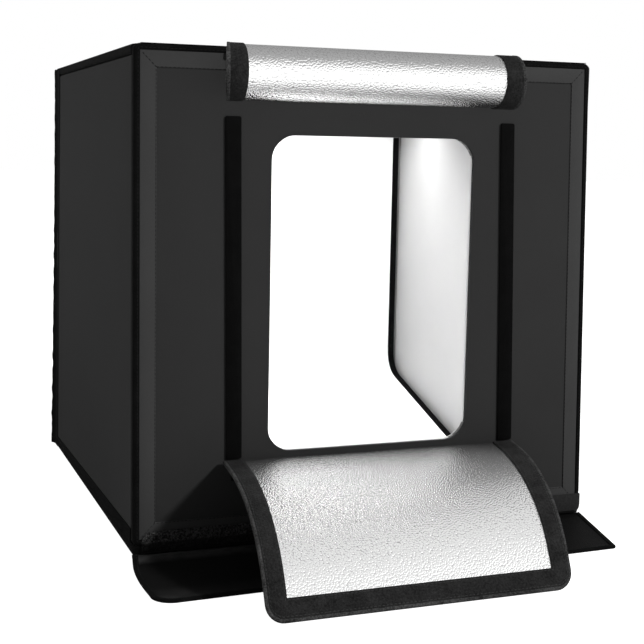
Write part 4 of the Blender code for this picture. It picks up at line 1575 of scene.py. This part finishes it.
# %% Strips at the rear corners
WALL_STRIP_W = 29 * MM
WALL_STRIP_CUTS = 20
PUCKER = 1.5 * MM
PUCKER_FOOT = 1.5 * MM
PUCKER_AT = 0.80
PUCKER_W = 0.16
RIPPLE = 0.35
RIPPLE_PITCH = 9 * MM
FOLD_Y = (HALF - 4 * MM, HALF - 12 * MM)
strip_middle = HALF - 0.6 * MM - WALL_STRIP_W / 2
strip_half = HALF - 1.5 * MM

for wall, along, outward, side in WALLS:
    ends = (-WALL_STRIP_W / 2, WALL_STRIP_W / 2, -strip_half, strip_half, LIFT, LIFT + STRIP_T)
    strip = flat_strip("back_to_" + wall, *ends, 4 * MM)
    steps = range(1, WALL_STRIP_CUTS)
    cut(strip, [WALL_STRIP_W * (step / WALL_STRIP_CUTS - 0.5) for step in steps], X)
    for vertex in strip.data.vertices:
        share = side * vertex.co.x / WALL_STRIP_W + 0.5
        ripple = 1 + RIPPLE * noise.noise(Vector((vertex.co.y / RIPPLE_PITCH, 0, 0)))
        swell = PUCKER + PUCKER_FOOT * (0.5 - vertex.co.y / SIDE)
        vertex.co.z += swell * ripple * math.exp(-(((share - PUCKER_AT) / PUCKER_W) ** 2))
    place_piece(strip, axes_at(along, Z, outward, (side * HALF, strip_middle, HALF)))
    points = [(side * HALF, y, HALF) for y in FOLD_Y]
    fit(strip, binding, "binding", ("back", wall + "_wall", *points))
    rests_on = ["back_cloth", wall + "_wall_cloth"]
print("wall strips", round(2 * strip_half / MM), "mm high")

# %% [markdown]
# For every sheet, the size that it was cut to, what it lies on and what is sewn onto it, such as
# its tapes and seams, are gathered. A cut that isn't a rectangle gives its area.


def going_with(*names):
    return [bpy.data.objects[name] for name in names]


window_area = WINDOW[0] * WINDOW[1] - (4 - math.pi) * WINDOW_R**2
openings = {"front": window_area, "roof": math.pi * PORT_R**2}
sewn_on = {
    "front": ["left_loop_tape", "right_loop_tape", "upper_flap_seam_welt", "front_foot_tape"],
    "roof": ["port_ring"],
    "left_wall": ["left_wall_foot_tape"],
    "right_wall": ["right_wall_foot_tape"],
}
for name, (place, width, height, hole) in panels.items():
    trim = WALL_TRIM if name.endswith("wall") else TUCK
    with_cover = going_with(name + "_edge_tape", name + "_seams", *sewn_on.get(name, []))
    for kind, edge, pieces in (("_cloth", trim, with_cover), ("_silver", TUCK, [])):
        size = (width - 2 * edge, height - 2 * edge)
        area = size[0] * size[1] - openings[name] if name in openings else None
        skin = bpy.data.objects[name + kind]
        lies_on = [name + "_board"]

for number in (1, 2, 3):
    pieces = [flap_pieces[(kind, number)] for kind in ("back", "tape", "edge", "stitches")]

# %% [markdown]
# A sewn tent is never quite square. This one leans out to the right at its foot, its front is a
# little narrower at the top, and its rear left foot bulges. Every outer piece is moved by the same
# rule, so that neighbours stay together. The stiff boards, the lining and the back stay put.

# %% Settle the cloth
LEAN_OUT = 6.5 * MM
LEAN_IN = 2.6 * MM
LEANS_IN = ("front_cloth", "front_edge_tape", "front_seams", "right_loop_tape")
LEAN_FROM_X = 92 * MM
LEAN_WIDTH = 30 * MM
REAR_BULGE = 4.5 * MM
BULGE_FROM_X = -100 * MM
BULGE_WIDTH = 100 * MM
FLAP_REACH = 168 * MM
AT_BACK = ("back_cloth", "back_edge_tape", "back_seams", "floor_to_back", "back_to_roof")


def smooth(value):
    value = clip(value)
    return value * value * (3 - 2 * value)


def settle(piece):
    for vertex in piece.data.vertices:
        x, y, z = vertex.co
        foot_share = clip(1 - z / SIDE)
        fore = 1 - clip((-HALF - y) / FLAP_REACH)
        rear = clip((y + HALF) / SIDE)
        lean = LEAN_OUT * foot_share
        if piece.name in LEANS_IN:
            lean -= LEAN_IN * (1 - foot_share)
        vertex.co.x += lean * smooth((x - LEAN_FROM_X) / LEAN_WIDTH) * fore
        bulge = REAR_BULGE * smooth((BULGE_FROM_X - x) / BULGE_WIDTH)
        vertex.co.x -= bulge * foot_share**1.5 * rear
    piece.data.update()


settled = 0
for piece in list(bpy.context.scene.objects):
    inside = piece.name.endswith("_silver") or "sweep" in piece.name
    kept = piece.name in nodes or inside or piece.name in AT_BACK
    if piece.type == "MESH" and not kept:
        settle(piece)
        settled += 1
print("settled", settled)

# %% [markdown]
# The studio: a pale floor that runs away to a white horizon, a large light from the right and in
# front that lays the flap's shadow across the panel, and a weaker one from the left for the wall.
# Mirror-like finishes see neither light. In them the floor in front of the tent is bright.

# %% Studio
FLOOR_RADIUS = 12.0
FLOOR_TO_CLOTH = 0.38
FLOOR_TO_MIRRORS = 1.2
FRONT_FLOOR = ((0.44, 0.0), (0.62, 1.0))
KEY_POWER = 2110
FILL_POWER = 480
AIM = Vector((0, -0.1, 0.2))
bpy.context.scene.view_settings.view_transform = "Standard"
ground = disc(FLOOR_RADIUS, -0.1 * MM)
ground.name = "studio_floor"
pale = Finish("studio floor", 0.6)
in_front = -1 * pale.part(pale.in_space(), 1)
mirrored = pale.mix(pale.ramp(in_front, *FRONT_FLOOR), 0.0, FLOOR_TO_MIRRORS)
added = pale.mix(pale.node("LightPath", out=3), FLOOR_TO_CLOTH, mirrored)
emitted = pale.mix(pale.node("LightPath"), added, 1.0)
pale.feed({"Base Color": grey(0.40), "Emission Color": emitted, "Emission Strength": 1.0})
paint(ground, pale)


def add_lamp(name, shape, size, power):
    lamp = bpy.data.lights.new(name, "AREA")
    lamp.shape = shape
    lamp.size = size
    lamp.energy = power
    holder = add(name, lamp)
    holder.visible_glossy = False
    return holder


def area_light(name, direction, distance, size, power):
    holder = add_lamp(name, "DISK", size, power)
    holder.location = AIM + Vector(direction).normalized() * distance
    holder.rotation_euler = Vector(direction).to_track_quat("Z", "Y").to_euler()


area_light("key", (0.95, -1.0, 0.96), 12.0, 1.3, KEY_POWER)
area_light("left_fill", (-1.0, 0.25, 0.12), 10.0, 4.0, FILL_POWER)
print("studio floor", 2 * FLOOR_RADIUS, "m across")

# %% [markdown]
# Inside, a lamp below each light bar does the lighting. Mirror-like finishes don't see these lamps,
# so the foil of the open flap shows the white inside and not two hot lines. The photograph shows no
# shadow of the roll on the panel, so the roll's pieces cast none.

# %% Lamps inside
BAR_POWER = 1.10
BAR_SPREAD = math.radians(140)
for bar in ("front_light", "rear_light"):
    low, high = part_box(bar + "_diffuser")
    holder = add_lamp(bar + "_lamp", "RECTANGLE", high.x - low.x, BAR_POWER)
    holder.data.size_y = high.y - low.y
    holder.data.spread = BAR_SPREAD
    holder.location = (0, (low.y + high.y) / 2, low.z - 1 * MM)
    holder.visible_camera = False

no_shadow = (roll_foil, roll_back, drop, *roll_tapes, *roll_edges)
for piece in no_shadow:
    piece.visible_shadow = False
print("without shadow", len(no_shadow))

# %% [markdown]
# Ahead of the tent the sky is white up to mid height and grey above, and behind it grey, which
# gives the foil its bands. The camera sees it white, and cloth gets only a little of its light.

# %% Sky
SKY_TO_CLOTH = 0.10
SKY_BRIGHTEST = 2.0
SKY_BEHIND = ((0.0, 0.50), (0.20, 0.26), (0.40, 0.21), (0.70, 0.23), (0.95, 0.28))
SKY_AHEAD = ((0.0, 0.92), (0.46, 0.90), (0.66, 0.32), (1.0, 0.28))

world = bpy.data.worlds.new("studio sky")
bpy.context.scene.world = world
sky = Shader(world, "Background")
heading = sky.node("TexCoord")
height = sky.part(heading, 2)
behind = sky.node("MapRange", values={0: sky.part(heading, 1), 1: -0.15, 2: 0.15})
levels = {0: behind, 2: sky.ramp(height, *SKY_AHEAD), 3: sky.ramp(height, *SKY_BEHIND)}
glow = sky.node("Mix", values=levels) * SKY_BRIGHTEST
to_diffuse = sky.node("LightPath", out=2)
to_cloth = sky.node("Mix", values={0: to_diffuse, 2: glow, 3: SKY_TO_CLOTH})
seen = sky.node("Mix", values={0: sky.node("LightPath"), 2: to_cloth, 3: 1.0})
sky.feed({"Color": (1, 1, 1, 1), "Strength": seen})
print("sky", len(sky.tree.nodes), "nodes")
